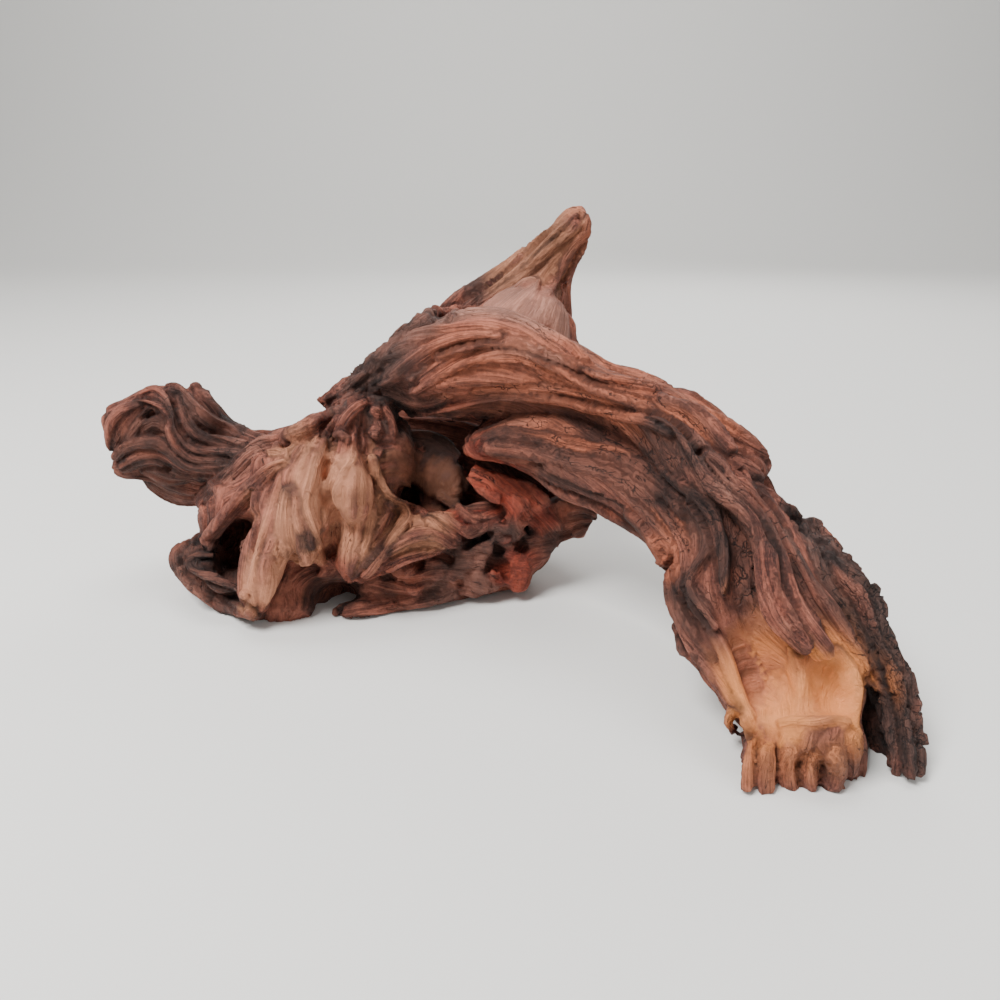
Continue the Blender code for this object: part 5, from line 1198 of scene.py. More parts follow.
def zone(points, rows):
    """How much each point belongs to the soft-edged place in the rows, from 0 to 1."""
    most = np.zeros(len(points))
    for a, b, y, reach in rows:
        far = np.linalg.norm(points - seen(a, b, y), axis=1) / reach
        most = np.maximum(most, np.clip(1.6 - far * 1.1, 0, 1))
    return most * most * (3 - 2 * most)


def smoothness(points):
    return zone(points, [row for rows in SMOOTH.values() for row in rows])


def nearest_strands(points, routes):
    """For each point, the gaps to its two nearest strands, and which strand and centre are nearest."""
    nearest = np.full(len(points), SEAM_REACH)
    second = np.full(len(points), SEAM_REACH)
    owner = np.full(len(points), -1)
    place = np.zeros(len(points), dtype=int)
    for number, (centres, radii) in enumerate(routes):
        reach = radii.max() + SEAM_REACH
        inside = (points > centres.min(axis=0) - reach) & (points < centres.max(axis=0) + reach)
        near = np.flatnonzero(inside.all(axis=1))
        if not len(near):
            continue
        far = np.sum(points[near] ** 2, axis=1)[:, None] + np.sum(centres**2, axis=1)
        far -= 2 * points[near] @ centres.T
        gaps = np.sqrt(np.maximum(far, 0.0)) - radii
        best = np.argmin(gaps, axis=1)
        gap = gaps[np.arange(len(near)), best]
        closer = gap < nearest[near]
        second[near] = np.where(closer, nearest[near], np.minimum(second[near], gap))
        nearest[near] = np.minimum(nearest[near], gap)
        owner[near[closer]] = number
        place[near[closer]] = best[closer]
    return nearest, second, owner, place


def steady_frames(centres):
    """The direction of a line at each of its points, and two across it that turn as little as they can."""
    along = np.gradient(centres, axis=0)
    along /= np.maximum(np.linalg.norm(along, axis=1), 1e-6)[:, None]
    side = np.cross(along[0], (0.3, 0.5, 0.8))
    sides = []
    for way in along:
        side = side - way * np.dot(side, way)
        side = side / np.linalg.norm(side)
        sides.append(side)
    sides = np.array(sides)
    return along, sides, np.cross(along, sides)


def run_of(line):
    """How far along a line of points each of them is."""
    return np.concatenate([[0.0], np.cumsum(np.linalg.norm(np.diff(line, axis=0), axis=1))])


class Fibres:
    """Coordinates in mm that follow the fibres of the nearest limb or strand: two across, one along."""

    def __init__(self, routes):
        self.routes = routes
        points, values, faces, base = [], [], [], 0
        for number, sections in enumerate(LIMBS.values()):
            rings = limb_rings(sections)[len(ROUND_END) : -len(ROUND_END)]
            centre = rings.mean(axis=1)
            girth = np.linalg.norm(rings - centre[:, None], axis=2).mean()
            run = run_of(centre)[:, None]
            turn = np.arange(LIMB_SIDES) * 2 * math.pi / LIMB_SIDES + TWIST * run / girth
            value = np.stack([np.cos(turn) * girth, np.sin(turn) * girth, run + 0 * turn], axis=-1)
            values.append(value.reshape(-1, 3) + self.offset(number))
            points.append(rings.reshape(-1, 3))
            for face in loft(rings)[:-2]:
                a, b, c, d = (i + base for i in face)
                faces += [(a, b, c), (a, c, d)]
            base += len(points[-1])
        points = np.vstack(points)
        self.skin = BVHTree.FromPolygons(points.tolist(), faces)
        self.corners = points[np.array(faces)]
        self.values = np.vstack(values)[np.array(faces)]

    def offset(self, number):
        """So that no two limbs or strands show the same pattern."""
        return np.array([37.7, 61.3, 83.9]) * (number + 1) % 997

    def at(self, points):
        """The coordinates of each point, and how deep it lies in a crease, from 0 to 1."""
        found = [self.skin.find_nearest(Vector(point)) for point in points]
        face = np.array([hit[2] for hit in found])
        spot = np.array([hit[0] for hit in found])
        a, b, c = self.corners[face].transpose(1, 0, 2)
        whole = np.cross(b - a, c - a)
        size = np.maximum(np.sum(whole * whole, axis=1), 1e-9)
        share_b = np.sum(np.cross(spot - a, c - a) * whole, axis=1) / size
        share_c = np.sum(np.cross(b - a, spot - a) * whole, axis=1) / size
        shares = np.stack([1 - share_b - share_c, share_b, share_c], axis=1)
        values = np.sum(self.values[face] * shares[:, :, None], axis=1)
        nearest, second, owner, place = nearest_strands(points, self.routes)
        for number, (centres, _) in enumerate(self.routes):
            mine = np.flatnonzero((owner == number) & (nearest < STRAND_HOLD))
            if not len(mine):
                continue
            along, side, up = (ways[place[mine]] for ways in steady_frames(centres))
            off = points[mine] - centres[place[mine]]
            across = [np.sum(off * side, axis=1), np.sum(off * up, axis=1)]
            run = run_of(centres)[place[mine]] + np.sum(off * along, axis=1)
            values[mine] = np.stack([*across, run], axis=1) + self.offset(number + len(LIMBS))
        lattice = np.random.default_rng(1).standard_normal((32, 32, 32))
        for k in range(3):
            values[:, k] += WOBBLE * soft_noise(points / WOBBLE_SIZE + 7.3 * k, lattice)
        sizes = np.array([radii.mean() for _, radii in self.routes])
        weight = np.clip(sizes[owner] / SEAM_SIZE, 0, 1) ** 2
        own = np.clip(1 - nearest / (0.5 * SEAM_REACH), 0, 1)
        return values, weight * own * np.clip(1 - (second - nearest) / SEAM_WIDTH, 0, 1)


def build_grain(strand_routes):
    rings = {name: limb_rings(sections) for name, sections in LIMBS.items()}
    every = np.vstack([r.reshape(-1, 3) for r in rings.values()])
    grain = Grain(every.min(axis=0), every.max(axis=0))
    for ring in rings.values():
        centre = ring.mean(axis=1)
        along = np.gradient(centre, axis=0)
        along /= np.linalg.norm(along, axis=1)[:, None]
        for k in range(0, LIMB_SIDES, 2):
            line = ring[:, k]
            out = line - centre
            out /= np.maximum(np.linalg.norm(out, axis=1), 1e-6)[:, None]
            grain.add_ways(line, along + TWIST * np.cross(along, out), 1.0)
    for points, _ in strand_routes:
        grain.add(points, STRAND_SAY)
    grain.settle()
    return grain


def mesh_points(mesh):
    flat = np.empty(len(mesh.vertices) * 3, dtype=np.float32)
    mesh.vertices.foreach_get("co", flat)
    return flat.reshape(-1, 3).astype(float) / MM


def mesh_normals(mesh):
    flat = np.empty(len(mesh.vertices) * 3, dtype=np.float32)
    mesh.vertex_normals.foreach_get("vector", flat)
    return flat.reshape(-1, 3).astype(float)


def set_points(mesh, points):
    mesh.vertices.foreach_set("co", (points * MM).astype(np.float32).ravel())
    mesh.update()


def carve(target, fibres):
    """Raise the ridges of the fibres and the blocks of the cracked places, and sink the creases."""
    points = mesh_points(target.data)
    values, crease = fibres.at(points)
    height = -SEAM_DEPTH * crease
    calm = 1 - SMOOTH_SHARE * smoothness(points)
    rough = {name: zone(points, rows) for name, (_, _, rows) in BARK.items()}
    roughest = np.max(list(rough.values()), axis=0)
    for seed, (width, length, tall) in enumerate(RIDGES):
        ridge = np.minimum(np.abs(fibre_noise(values, width, length, seed)), 1.6) - 0.8
        height += tall * ridge * (1 - 0.5 * roughest) * calm
    for name, (size, tall, _) in BARK.items():
        near = np.flatnonzero(rough[name] > 0.01)
        gap, own = blocks(values[near], size, BLOCK_STRETCH, 7)
        edge = np.clip(gap / BLOCK_EDGE, 0, 1)
        height[near] += tall * rough[name][near] * (edge * (0.6 + 0.8 * own) - 0.8)
    set_points(target.data, points + mesh_normals(target.data) * height[:, None])


def largest_piece_only(target):
    """Drop loose scraps, so that the wood is one body."""
    shape = bmesh.new()
    shape.from_mesh(target.data)
    left = set(shape.verts)
    pieces = []
    while left:
        stack = [left.pop()]
        piece = []
        while stack:
            v = stack.pop()
            piece.append(v)
            for e in v.link_edges:
                o = e.other_vert(v)
                if o in left:
                    left.remove(o)
                    stack.append(o)
        pieces.append(piece)
    pieces.sort(key=len)
    for piece in pieces[:-1]:
        bmesh.ops.delete(shape, geom=piece, context="VERTS")
    shape.to_mesh(target.data)
    shape.free()


def thin_out(target, triangles):
    count = sum(len(p.vertices) - 2 for p in target.data.polygons)
    decimate = target.modifiers.new("thin_out", "DECIMATE")
    decimate.ratio = triangles / count
    decimate.use_collapse_triangulate = True
    apply_modifiers(target)


def stand_on_ground(target):
    """Cut the wood off flat at z = 0 and close the cuts."""
    shape = bmesh.new()
    shape.from_mesh(target.data)
    every = [*shape.verts, *shape.edges, *shape.faces]
    bmesh.ops.bisect_plane(
        shape, geom=every, dist=1e-7, plane_co=(0, 0, 0), plane_no=(0, 0, 1), clear_inner=True
    )
    rims = [e for e in shape.edges if e.is_boundary]
    soles = bmesh.ops.holes_fill(shape, edges=rims)["faces"]
    bmesh.ops.triangulate(shape, faces=soles)
    shape.to_mesh(target.data)
    shape.free()


def build_wood(collection, voxel):
    """The fused wood with its strands, hollows and ridges, before it is thinned out."""
    wood = build_limbs(collection)
    fuse(wood, voxel)
    smooth(wood, 3)
    skin = skin_of(wood)
    low, high = [], []
    for name, rows in STRANDS.items():
        if name.startswith(LOW_STRANDS):
            low.append(drape(rows, skin, LOW_SINK))
        else:
            high.append(drape(rows, skin, STRAND_SINK, LIFTS.get(name, (0, 0))))
    grain = build_grain(low + high)
    high += wild_routes(wood, skin, grain, low + high)
    strand_routes = low + high
    press_beds(wood, high)
    press_in(wood, dent_routes(skin) + hollow_routes())
    join(wood, build_tubes("strands", strand_routes, collection))
    join(wood, build_plates(collection))
    join(wood, build_crumbs(skin, collection))
    fuse(wood, voxel)
    smooth(wood, 1)
    press_in(wood, slit_routes(skin_of(wood)))
    fuse(wood, voxel)
    smooth(wood, 1)
    largest_piece_only(wood)
    fibres = Fibres(strand_routes)
    carve(wood, fibres)
    return wood, fibres


# The size in mm of the cells the skin is remade from, and how many triangles it may have.
FINE_VOXEL = 1.15
FINE_TRIANGLES = 196000
FINE_RIDGES = (2.6, 45.0, 0.55)

# From this rise in mm per mm a fibre coordinate counts as torn between two strands.
TORN = 4.0

# Colours, as they show in the light. In a pair, the first is the colour of the dark lines.
ASH = ("2b1a15", "785a4e")
RUST = ("501d10", "b4583a")
# A pale colour screened onto convex ridges: partly wear, partly painted highlight.
WORN_AND_HIGHLIGHT = "6a3d2f"
UMBER = "3a1a14"
ROSE = "9d5946"
# SHADE is the colour of the cracks, and of the painted shade in creases and hollows.
SHADE = "130806"
# Two tints are painted shade, not colours of the wood: the first, dark brown, on undersides and in recesses,
# and the last, near black, in the deepest recesses, slits and holes.
TINTS = {
    "painted_shade": "3a231c", "brown": "6b3b2a", "orange": "c46c4c", "grey": "4c362f", "golden": "6a3d24",
    "red": "a23a22", "rosy": "c4825f", "tan": "cc7a4c", "honey": "ee9450", "mauve": "a3705f",
    "painted_deep_shade": "1c0d09",
}
# The dark lines of a tinted place are this part of its colour.
TINT_DEEP = {"tan": 0.45, "honey": 0.6, "rosy": 0.4, "mauve": 0.4}
# Where each tint lies: (a, b, y, reach in mm).
TINT_PLACES = {
    # Painted shade on the arch's underside, along the leg's inner side and fissure, and in the basin, on the
    # arm and in the dish under the arch.
    "painted_shade": [
        (10, 88, 336, 20), (40, 80, 328, 22), (70, 66, 322, 24), (100, 54, 314, 24), (130, 38, 304, 22),
        (160, 16, 294, 22), (185, -10, 284, 18), (150, 62, 300, 18), (100, 86, 314, 14), (176, 38, 292, 16),
        (150, -15, 300, 14), (250, -55, 264, 14), (254, -90, 256, 12), (200, -112, 258, 12),
        (214, -146, 250, 11),
        (184, -80, 268, 11), (-300, -72, 348, 16), (-280, -92, 340, 14), (-250, -104, 338, 12),
        (330, -110, 262, 14), (346, -160, 250, 12), (-330, 50, 384, 22), (-296, 56, 384, 20),
        (-350, 30, 388, 16),
        (-100, 50, 358, 16), (-60, 30, 362, 16), (-40, 10, 362, 12), (315, -70, 268, 14),
        (228, -6, 282, 12),
    ],
    "brown": [(300, -238, 210, 10), (335, -236, 210, 10), (270, -262, 208, 9), (345, -150, 250, 12)],
    "orange": [
        (-40, 140, 345, 16), (0, 147, 342, 18), (40, 139, 335, 18), (80, 120, 322, 16), (120, 104, 310, 14),
        (60, 128, 330, 14), (88, 285, 390, 8), (84, 262, 390, 8), (168, -50, 275, 9), (200, 86, 300, 12),
    ],
    "grey": [
        (-110, 145, 360, 24), (-80, 165, 365, 22), (-20, 215, 398, 10), (300, -30, 280, 14),
        (325, -60, 272, 18),
        (350, -95, 262, 18), (380, -130, 252, 20), (398, -180, 244, 20), (410, -230, 234, 16),
        (-28, -60, 341, 12),
        (-20, -84, 343, 12), (8, -32, 343, 8), (-60, -84, 344, 10),
    ],
    "golden": [
        (-102, 44, 357, 13), (-78, 25, 360, 12), (-58, 42, 365, 12), (-48, 12, 362, 10), (-90, 12, 352, 8),
    ],
    "red": [
        (-18, 24, 346, 12), (4, 14, 345, 13), (24, 2, 345, 11), (18, -70, 345, 9), (24, -82, 345, 7),
        (44, -14, 350, 8), (-40, -26, 346, 6), (-62, -20, 348, 6), (5, -12, 343, 6),
    ],
    "rosy": [
        (-148, 14, 326, 13), (-150, -14, 326, 12), (-148, -40, 328, 10), (-188, 20, 332, 13),
        (-190, -8, 328, 14),
        (-205, -38, 326, 13), (-222, -64, 324, 12), (-232, -88, 322, 11), (-196, 44, 340, 11),
        (-230, -10, 338, 9),
        (40, 240, 392, 14), (14, 226, 396, 12), (60, 262, 390, 10), (-100, -30, 334, 8), (-70, -30, 336, 8),
    ],
    "tan": [
        (264, -174, 234, 14), (275, -195, 228, 15), (250, -150, 240, 8), (325, -180, 236, 14),
        (332, -205, 228, 13),
        (300, -212, 224, 15), (300, -262, 208, 16), (330, -262, 208, 14), (262, -235, 218, 12),
        (300, -180, 234, 10),
    ],
    "honey": [
        (268, -186, 228, 12), (278, -202, 225, 12), (256, -165, 236, 8), (328, -190, 232, 12),
        (334, -206, 227, 10),
    ],
    "mauve": [(20, 175, 360, 22), (50, 160, 350, 18), (-10, 180, 365, 18)],
    # Painted deep shade, near black: in the recess under the arch, the leg's fissure, the left cavity, the
    # notch beside the hang, the bowl's hole, the fin's slot and between the blocks.
    "painted_deep_shade": [
        (-104, 76, 358, 8), (-84, 76, 366, 12), (-58, 72, 372, 14), (-32, 62, 374, 14), (-6, 48, 373, 13),
        (20, 34, 368, 12), (44, 22, 362, 10), (62, 6, 356, 9), (-60, 84, 342, 6), (-24, 86, 336, 6),
        (10, 84, 330, 5), (214, 0, 280, 6), (230, -30, 278, 9), (237, -54, 274, 10), (237, -84, 268, 10),
        (244, -110, 262, 10), (226, -16, 280, 7), (234, -44, 272, 9), (238, -70, 266, 9),
        (240, -96, 260, 8), (-262, -40, 348, 14), (-268, -60, 350, 13), (-164, -93, 340, 11),
        (-91, 5, 374, 9),
        (372, -214, 244, 8), (376, -240, 238, 9), (-110, -84, 344, 6), (-70, -72, 348, 5),
        (-30, -38, 350, 4),
        (28, -36, 354, 5), (0, -50, 352, 5), (80, -16, 362, 10), (60, -36, 356, 8), (300, -150, 240, 4),
    ],
}


# The floor and its backdrop, in metres.
FLOOR_COLOUR = "dcdad6"
FLOOR_FRONT = -3.0
FLOOR_SIDE = 6.0
BEND_START = 1.6
BEND = 1.0
BEND_STEPS = 12
BACKDROP_HEIGHT = 4.0

# Each light: its place, what it aims at, its size and its power.
LIGHTS = {
    "key": ((-0.55, -0.5, 1.15), (0, 0, 0.08), 0.5, 32),
    "fill": ((1.1, -0.9, 0.6), (0, 0, 0.08), 1.2, 6),
    "back": ((0.4, 1.2, 0.9), (0, 0, 0.08), 0.9, 7),
    "backdrop": ((0.0, 0.6, 2.2), (0, 2.2, 0.5), 1.5, 45),
}
SKY = (0.9, 0.92, 0.93, 1.0)
SKY_STRENGTH = 0.44

# The camera's sensor in mm, and the picture's width in pixels.
SENSOR = 36.0
PICTURE = 1000.0

# Checked places: how far apart their cracks are across and along the fibres, in mm, and the width of a crack
# in parts of that.
CHECKS = {
    "checked_arch": (4.6, 8.0, 0.035),
    "checked_leg": (4.2, 7.0, 0.035),
    "checked_fin": (3.8, 4.6, 0.06),
}
CHECK_PLACES = {
    "checked_arch": [
        (40, 92, 322, 16), (90, 84, 314, 20), (130, 70, 304, 20), (100, 62, 312, 18), (150, 45, 294, 18),
        (-60, 98, 332, 12),
        (0, 96, 328, 12),
    ],
    "checked_leg": [
        (165, 5, 288, 18), (192, -20, 280, 16), (256, -50, 262, 14), (262, -85, 256, 12),
        (190, 30, 284, 14),
    ],
    "checked_fin": [
        (300, -20, 282, 12), (322, -45, 278, 16), (345, -80, 268, 18), (360, -115, 258, 18),
        (380, -155, 250, 18),
        (398, -195, 240, 14), (408, -240, 232, 12),
    ],
}


def make_part():
    """The wood in fine detail, and its fibres."""
    collection = bpy.data.collections.new("driftwood_sculpture")
    bpy.context.scene.collection.children.link(collection)
    wood, fibres = build_wood(collection, FINE_VOXEL)
    points = mesh_points(wood.data)
    values, _ = fibres.at(points)
    calm = 1 - SMOOTH_SHARE * smoothness(points)
    width, length, tall = FINE_RIDGES
    fine = np.minimum(np.abs(fibre_noise(values, width, length, 11)), 1.6) - 0.8
    set_points(wood.data, points + mesh_normals(wood.data) * (tall * fine * calm)[:, None])
    if sum(len(p.vertices) - 2 for p in wood.data.polygons) > FINE_TRIANGLES:
        thin_out(wood, FINE_TRIANGLES)
    stand_on_ground(wood)
    largest_piece_only(wood)
    return wood, fibres


def colour(code):
    """A linear colour from its six-digit code."""
    parts = [int(code[i : i + 2], 16) / 255 for i in (0, 2, 4)]
    return tuple(p / 12.92 if p <= 0.04045 else ((p + 0.055) / 1.055) ** 2.4 for p in parts) + (1.0,)


def spots(points, rows, ragged):
    """How much each point belongs to the soft-edged places in the rows, from 0 to 1."""
    most = np.zeros(len(points))
    for a, b, y, reach in rows:
        far = np.linalg.norm(points - seen(a, b, y), axis=1) / reach + ragged
        most = np.maximum(most, np.clip(1.7 - far, 0, 1))
    return most * most * (3 - 2 * most)


def filled_share(points, places, cell, rounds):
    """How much of the space around each place is wood: more than half in a hollow, less on a ridge."""
    low = points.min(axis=0) - 12 * cell
    shape = np.ceil((points.max(axis=0) - low) / cell).astype(int) + 13
    crust = np.zeros(shape, dtype=bool)
    crust[tuple(np.floor((points - low) / cell).astype(int).T)] = True
    air = np.zeros(shape, dtype=bool)
    air[0, :, :] = True
    grown = True
    while grown:
        before = air.sum()
        for axis in range(3):
            for way in (1, -1):
                air |= np.roll(air, way, axis) & ~crust
        grown = air.sum() > before
    wood = (~air).astype(float)
    for _ in range(rounds):
        for axis in range(3):
            wood = (np.roll(wood, 1, axis) + 2 * wood + np.roll(wood, -1, axis)) / 4
    spot = (places - low) / cell - 0.5
    base = np.floor(spot).astype(int)
    part = spot - base
    total = np.zeros(len(places))
    for corner in range(8):
        step = np.array([corner & 1, corner >> 1 & 1, corner >> 2])
        weight = np.prod(np.where(step, part, 1 - part), axis=1)
        total += weight * wood[tuple((base + step).T)]
    return total


def keep(mesh, name, values):
    """Store a number or three for each point of the mesh, for the material to read."""
    values = np.asarray(values, dtype=np.float32)
    field = mesh.attributes.new(name, "FLOAT" if values.ndim == 1 else "FLOAT_VECTOR", "POINT")
    field.data.foreach_set("value" if values.ndim == 1 else "vector", values.ravel())


def blurred(values, ends, rounds):
    """Each point takes the mean of itself and its neighbours, so that no hard edge is left."""
    count = len(values)
    share = np.maximum(np.bincount(ends.ravel(), minlength=count), 1)
    for _ in range(rounds):
        total = np.bincount(ends[:, 0], values[ends[:, 1]], count)
        total += np.bincount(ends[:, 1], values[ends[:, 0]], count)
        values = 0.5 * values + 0.5 * total / share
    return values


def add_fields(wood, fibres):
    """Write what the material needs at each point of the skin."""
    mesh = wood.data
    points = mesh_points(mesh)
    values, crease = fibres.at(points)
    ends = np.empty(len(mesh.edges) * 2, dtype=np.int32)
    mesh.edges.foreach_get("vertices", ends)
    ends = ends.reshape(-1, 2)
    leap = np.linalg.norm(values[ends[:, 0]] - values[ends[:, 1]], axis=1)
    torn = leap > TORN * (1 + np.linalg.norm(points[ends[:, 0]] - points[ends[:, 1]], axis=1))
    joint = np.zeros(len(points))
    joint[ends[torn].ravel()] = 1.0
    keep(mesh, "fibre", values)
    keep(mesh, "joint", joint)
    # How deep each point lies in a crease between strands: the material paints shade there.
    keep(mesh, "crease", blurred(crease, ends, 2))
    keep(mesh, "calm", smoothness(points))
    # How much wood is around each point, near and wider: the material paints shade in the hollows from these,
    # and paler convex ridges from the first.
    keep(mesh, "near_hollow", filled_share(points, points, 2.0, 3))
    keep(mesh, "deep_hollow", filled_share(points, points, 2.5, 22))
    ragged = 0.3 * fibre_noise(values, 7.0, 40.0, 24)
    for name, rows in (TINT_PLACES | CHECK_PLACES).items():
        keep(mesh, name, spots(points, rows, ragged))


class Shader:
    """Short ways to add and join the nodes of one material."""

    def __init__(self, name):
        self.material = bpy.data.materials.new(name)
        self.material.use_nodes = True
        self.tree = self.material.node_tree
        self.main = self.tree.nodes["Principled BSDF"]

    def add(self, kind, inputs, **settings):
        made = self.tree.nodes.new(kind)
        for key, value in settings.items():
            setattr(made, key, value)
        for key, value in inputs.items():
            self.feed(made.inputs[key], value)
        return made

    def feed(self, socket, value):
        if isinstance(value, bpy.types.NodeSocket):
            self.tree.links.new(value, socket)
        else:
            socket.default_value = value

    def field(self, name):
        return self.add("ShaderNodeAttribute", {}, attribute_name=name).outputs["Fac"]

    def maths(self, operation, *values, clamp=False):
        inputs = dict(enumerate(values))
        return self.add("ShaderNodeMath", inputs, operation=operation, use_clamp=clamp).outputs[0]

    def noise(self, where, scale, detail=2.0, roughness=0.5):
        inputs = {"Vector": where, "Scale": scale, "Detail": detail, "Roughness": roughness}
        return self.add("ShaderNodeTexNoise", inputs).outputs["Fac"]

    def toned(self, value, share):
        """The value where the share is 1, and the middle tone where it is 0."""
        return self.maths("ADD", self.maths("MULTIPLY", self.maths("SUBTRACT", value, 0.5), share), 0.5)

    def ramp(self, value, low, high, low_to=0.0, high_to=1.0):
        inputs = {"Value": value, "From Min": low, "From Max": high, "To Min": low_to, "To Max": high_to}
        return self.add("ShaderNodeMapRange", inputs, interpolation_type="SMOOTHSTEP").outputs["Result"]

    def scaled(self, vector, factors):
        return self.add("ShaderNodeVectorMath", {0: vector, 1: factors}, operation="MULTIPLY").outputs[0]

    def net(self, where, width):
        """A net of thin lines around irregular cells."""
        cells = self.add("ShaderNodeTexVoronoi", {"Vector": where, "Scale": 1.0}, feature="DISTANCE_TO_EDGE")
        return self.ramp(cells.outputs["Distance"], 0.3 * width, width, 1.0, 0.0)

    def mix(self, share, one, other, blend="MIX"):
        made = self.tree.nodes.new("ShaderNodeMix")
        made.data_type = "RGBA"
        made.blend_type = blend
        for socket, value in ((0, share), (6, one), (7, other)):
            self.feed(made.inputs[socket], value)
        return made.outputs[2]


def wood_material():
    """Fibre lines, cracks along and across them, tinted places (two of them painted shade), ridges made paler
    by wear and painted highlight, and painted shade in creases and hollows.
    """
    s = Shader("wood")
    place = s.add("ShaderNodeTexCoord", {}).outputs["Object"]
    fibre = s.add("ShaderNodeAttribute", {}, attribute_name="fibre").outputs["Vector"]
    lines = s.scaled(fibre, (1.0, 1.0, 0.03))
    calm = s.field("calm")
    whole = s.ramp(s.field("joint"), 0.4, 1.0, 1.0, s.ramp(calm, 0.0, 0.6, 0.4, 0.0))
    coarse = s.toned(s.noise(lines, 0.2, 3.0, 0.6), whole)
    thin = s.toned(s.noise(lines, 0.85, 3.0, 0.65), whole)
    patches = s.noise(place, 18.0, 3.0, 0.6)
    blotches = s.noise(place, 60.0, 3.0, 0.6)
    specks = s.noise(place, 500.0, 5.0, 0.8)

    shade = s.maths("ADD", s.maths("MULTIPLY", coarse, 0.3), s.maths("MULTIPLY", thin, 0.5))
    shade = s.maths("ADD", shade, s.maths("MULTIPLY", blotches, 0.2))
    shade = s.maths("ADD", shade, s.maths("MULTIPLY", specks, 0.3))
    light = s.ramp(shade, 0.54, 0.8)
    base = s.mix(light, colour(UMBER), colour(ROSE))
    for (low, high), pair in (((0.5, 0.68), ASH), ((0.46, 0.32), RUST)):
        base = s.mix(s.ramp(patches, low, high, 0.0, 0.6), base, s.mix(light, *map(colour, pair)))
    even = s.maths("MAXIMUM", light, s.ramp(calm, 0.2, 1.0, 0.0, 0.35))
    # Tinted places; the first and the last tint are painted shade, not colours of the wood.
    for name, code in TINTS.items():
        pale = colour(code)
        deep = (*(TINT_DEEP.get(name, 0.3) * c for c in pale[:3]), 1.0)
        base = s.mix(s.maths("MULTIPLY", s.field(name), 0.9), base, s.mix(even, deep, pale))

    # Convex ridges are screened paler: partly wear, partly a painted highlight.
    ridge = s.ramp(s.field("near_hollow"), 0.48, 0.3)
    wear_and_highlight = s.maths("MULTIPLY", ridge, s.ramp(blotches, 0.4, 0.6, 0.2, 0.8))
    base = s.mix(wear_and_highlight, base, colour(WORN_AND_HIGHLIGHT), "SCREEN")
    crack = cracked(s, fibre, lines, patches, blotches)
    base = s.mix(s.maths("MULTIPLY", crack, 0.8), base, colour(SHADE))
    # Painted shade in the creases where strands meet.
    crease = s.ramp(s.field("crease"), 0.1, 0.8, 0.0, 0.7)
    base = s.mix(crease, base, colour(SHADE))
    # Painted shade in the hollows, near and deep: the more wood around a point, the closer its colour goes to
    # SHADE.
    hollow = s.ramp(s.field("near_hollow"), 0.55, 0.75, 0.0, 0.8)
    deep = s.ramp(s.field("deep_hollow"), 0.54, 0.78, 0.0, 0.95)
    base = s.mix(s.maths("MAXIMUM", hollow, deep), base, colour(SHADE))
    s.feed(s.main.inputs["Base Color"], base)
    s.feed(s.main.inputs["Roughness"], s.ramp(thin, 0.3, 0.7, 0.85, 0.6))
    s.main.inputs["Specular IOR Level"].default_value = 0.4
    height = s.maths("ADD", s.maths("MULTIPLY", thin, 1.0), s.maths("MULTIPLY", coarse, 0.8))
    height = s.maths("ADD", height, s.maths("MULTIPLY", specks, 0.7))
    height = s.maths("SUBTRACT", height, crack)
    height = s.maths("MULTIPLY", height, s.ramp(calm, 0.0, 1.0, 1.0, 0.7))
    bump = s.add("ShaderNodeBump", {"Strength": 1.0, "Distance": 0.0018, "Height": height})
    s.feed(s.main.inputs["Normal"], bump.outputs["Normal"])
    return s.material


def cracked(s, fibre, lines, patches, blotches):
    """Long thin cracks along the fibres nearly everywhere, and a net of short ones in the checked places."""
    split = s.noise(lines, 0.33, 2.0, 0.5)
    split = s.maths("ABSOLUTE", s.maths("SUBTRACT", split, 0.5))
    whole = s.ramp(s.field("joint"), 0.1, 0.8, 1.0, 0.0)
    total = s.maths("MULTIPLY", s.ramp(split, 0.001, 0.009, 1.0, 0.0), s.ramp(blotches, 0.42, 0.6, 0.1, 1.0))
    total = s.maths("MULTIPLY", total, s.ramp(s.field("calm"), 0.0, 1.0, 1.0, 0.5))
    bent = s.add("ShaderNodeTexNoise", {"Vector": fibre, "Scale": 0.35, "Detail": 2.0}).outputs["Color"]
    bent = s.add("ShaderNodeVectorMath", {0: bent, "Scale": 3.0}, operation="SCALE").outputs[0]
    bent = s.add("ShaderNodeVectorMath", {0: fibre, 1: bent}, operation="ADD").outputs[0]
    wide = s.net(s.scaled(bent, (0.17, 0.17, 0.05)), 0.018)
    total = s.maths("MAXIMUM", total, s.maths("MULTIPLY", wide, s.ramp(patches, 0.5, 0.62)))
    broken = s.ramp(blotches, 0.4, 0.54)
    for name, (across, along, width) in CHECKS.items():
        net = s.net(s.scaled(bent, (1 / across, 1 / across, 1 / along)), width)
        net = s.maths("MULTIPLY", net, s.maths("MULTIPLY", s.ramp(s.field(name), 0.2, 0.7), broken))
        total = s.maths("MAXIMUM", total, net)
    total = s.maths("MULTIPLY", total, s.ramp(s.field("calm"), 0.1, 0.8, 1.0, 0.15))
    return s.maths("MULTIPLY", total, whole)


def plain_material(name, code, roughness):
    s = Shader(name)
    s.main.inputs["Base Color"].default_value = colour(code)
    s.main.inputs["Roughness"].default_value = roughness
    return s.material


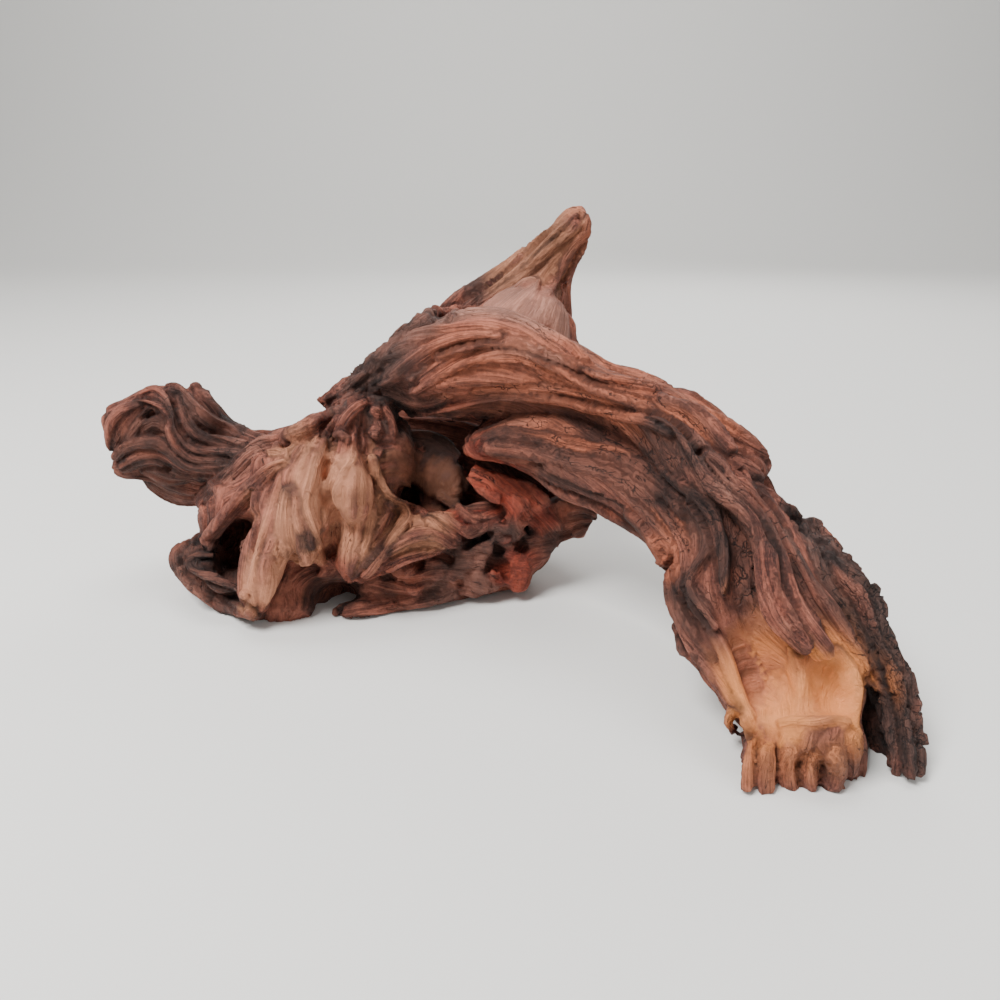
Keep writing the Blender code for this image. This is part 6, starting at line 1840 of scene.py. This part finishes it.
def make_floor():
    """A pale floor that curves up into a pale backdrop."""
    rows = [(FLOOR_FRONT, 0.0), (BEND_START, 0.0)]
    for k in range(1, BEND_STEPS + 1):
        turn = k / BEND_STEPS * math.pi / 2
        rows.append((BEND_START + BEND * math.sin(turn), BEND * (1 - math.cos(turn))))
    rows.append((BEND_START + BEND, BACKDROP_HEIGHT))
    mesh = bpy.data.meshes.new("floor")
    points = [(x, y, z) for y, z in rows for x in (-FLOOR_SIDE, FLOOR_SIDE)]
    faces = [(2 * i, 2 * i + 1, 2 * i + 3, 2 * i + 2) for i in range(len(rows) - 1)]
    mesh.from_pydata(points, [], faces)
    floor = new_object("floor", mesh, bpy.context.scene.collection)
    floor.data.shade_smooth()
    floor.data.materials.append(plain_material("pale_floor", FLOOR_COLOUR, 0.9))


def add_light(name, place, aim, size, power):
    lamp = bpy.data.lights.new(name, "AREA")
    lamp.size = size
    lamp.energy = power
    made = new_object(name, lamp, bpy.context.scene.collection)
    made.location = place
    made.rotation_euler = (Vector(aim) - Vector(place)).to_track_quat("-Z", "Y").to_euler()


def light_studio():
    for name, (place, aim, size, power) in LIGHTS.items():
        add_light(name, place, aim, size, power)
    world = bpy.data.worlds.new("studio")
    world.use_nodes = True
    world.node_tree.nodes["Background"].inputs["Color"].default_value = SKY
    world.node_tree.nodes["Background"].inputs["Strength"].default_value = SKY_STRENGTH
    bpy.context.scene.world = world


def place_camera():
    """The photograph's view: the eye that the wood is laid out from."""
    lens = bpy.data.cameras.new("camera")
    lens.sensor_width = SENSOR
    lens.lens = SENSOR * SIGHT_PLANE / PICTURE
    camera = new_object("camera", lens, bpy.context.scene.collection)
    camera.location = (EYE - ORIGIN) * MM
    camera.rotation_euler = (math.pi / 2 - EYE_TILT, 0.0, 0.0)
    bpy.context.scene.camera = camera


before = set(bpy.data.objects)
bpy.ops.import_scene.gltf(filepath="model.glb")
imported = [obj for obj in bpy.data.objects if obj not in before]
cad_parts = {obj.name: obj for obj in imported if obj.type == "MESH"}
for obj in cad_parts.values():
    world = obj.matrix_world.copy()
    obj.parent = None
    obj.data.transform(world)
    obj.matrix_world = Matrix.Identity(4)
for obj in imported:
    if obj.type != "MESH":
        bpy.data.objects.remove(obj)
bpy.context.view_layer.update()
wood, fibres = make_part()
add_fields(wood, fibres)
set_points(wood.data, mesh_points(wood.data) - ORIGIN)
wood.data.shade_smooth()
wood.name = "driftwood_skin"
wood.data.materials.clear()
wood.data.materials.append(wood_material())
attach(wood, "root")
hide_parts("driftwood")
make_floor()
light_studio()
place_camera()
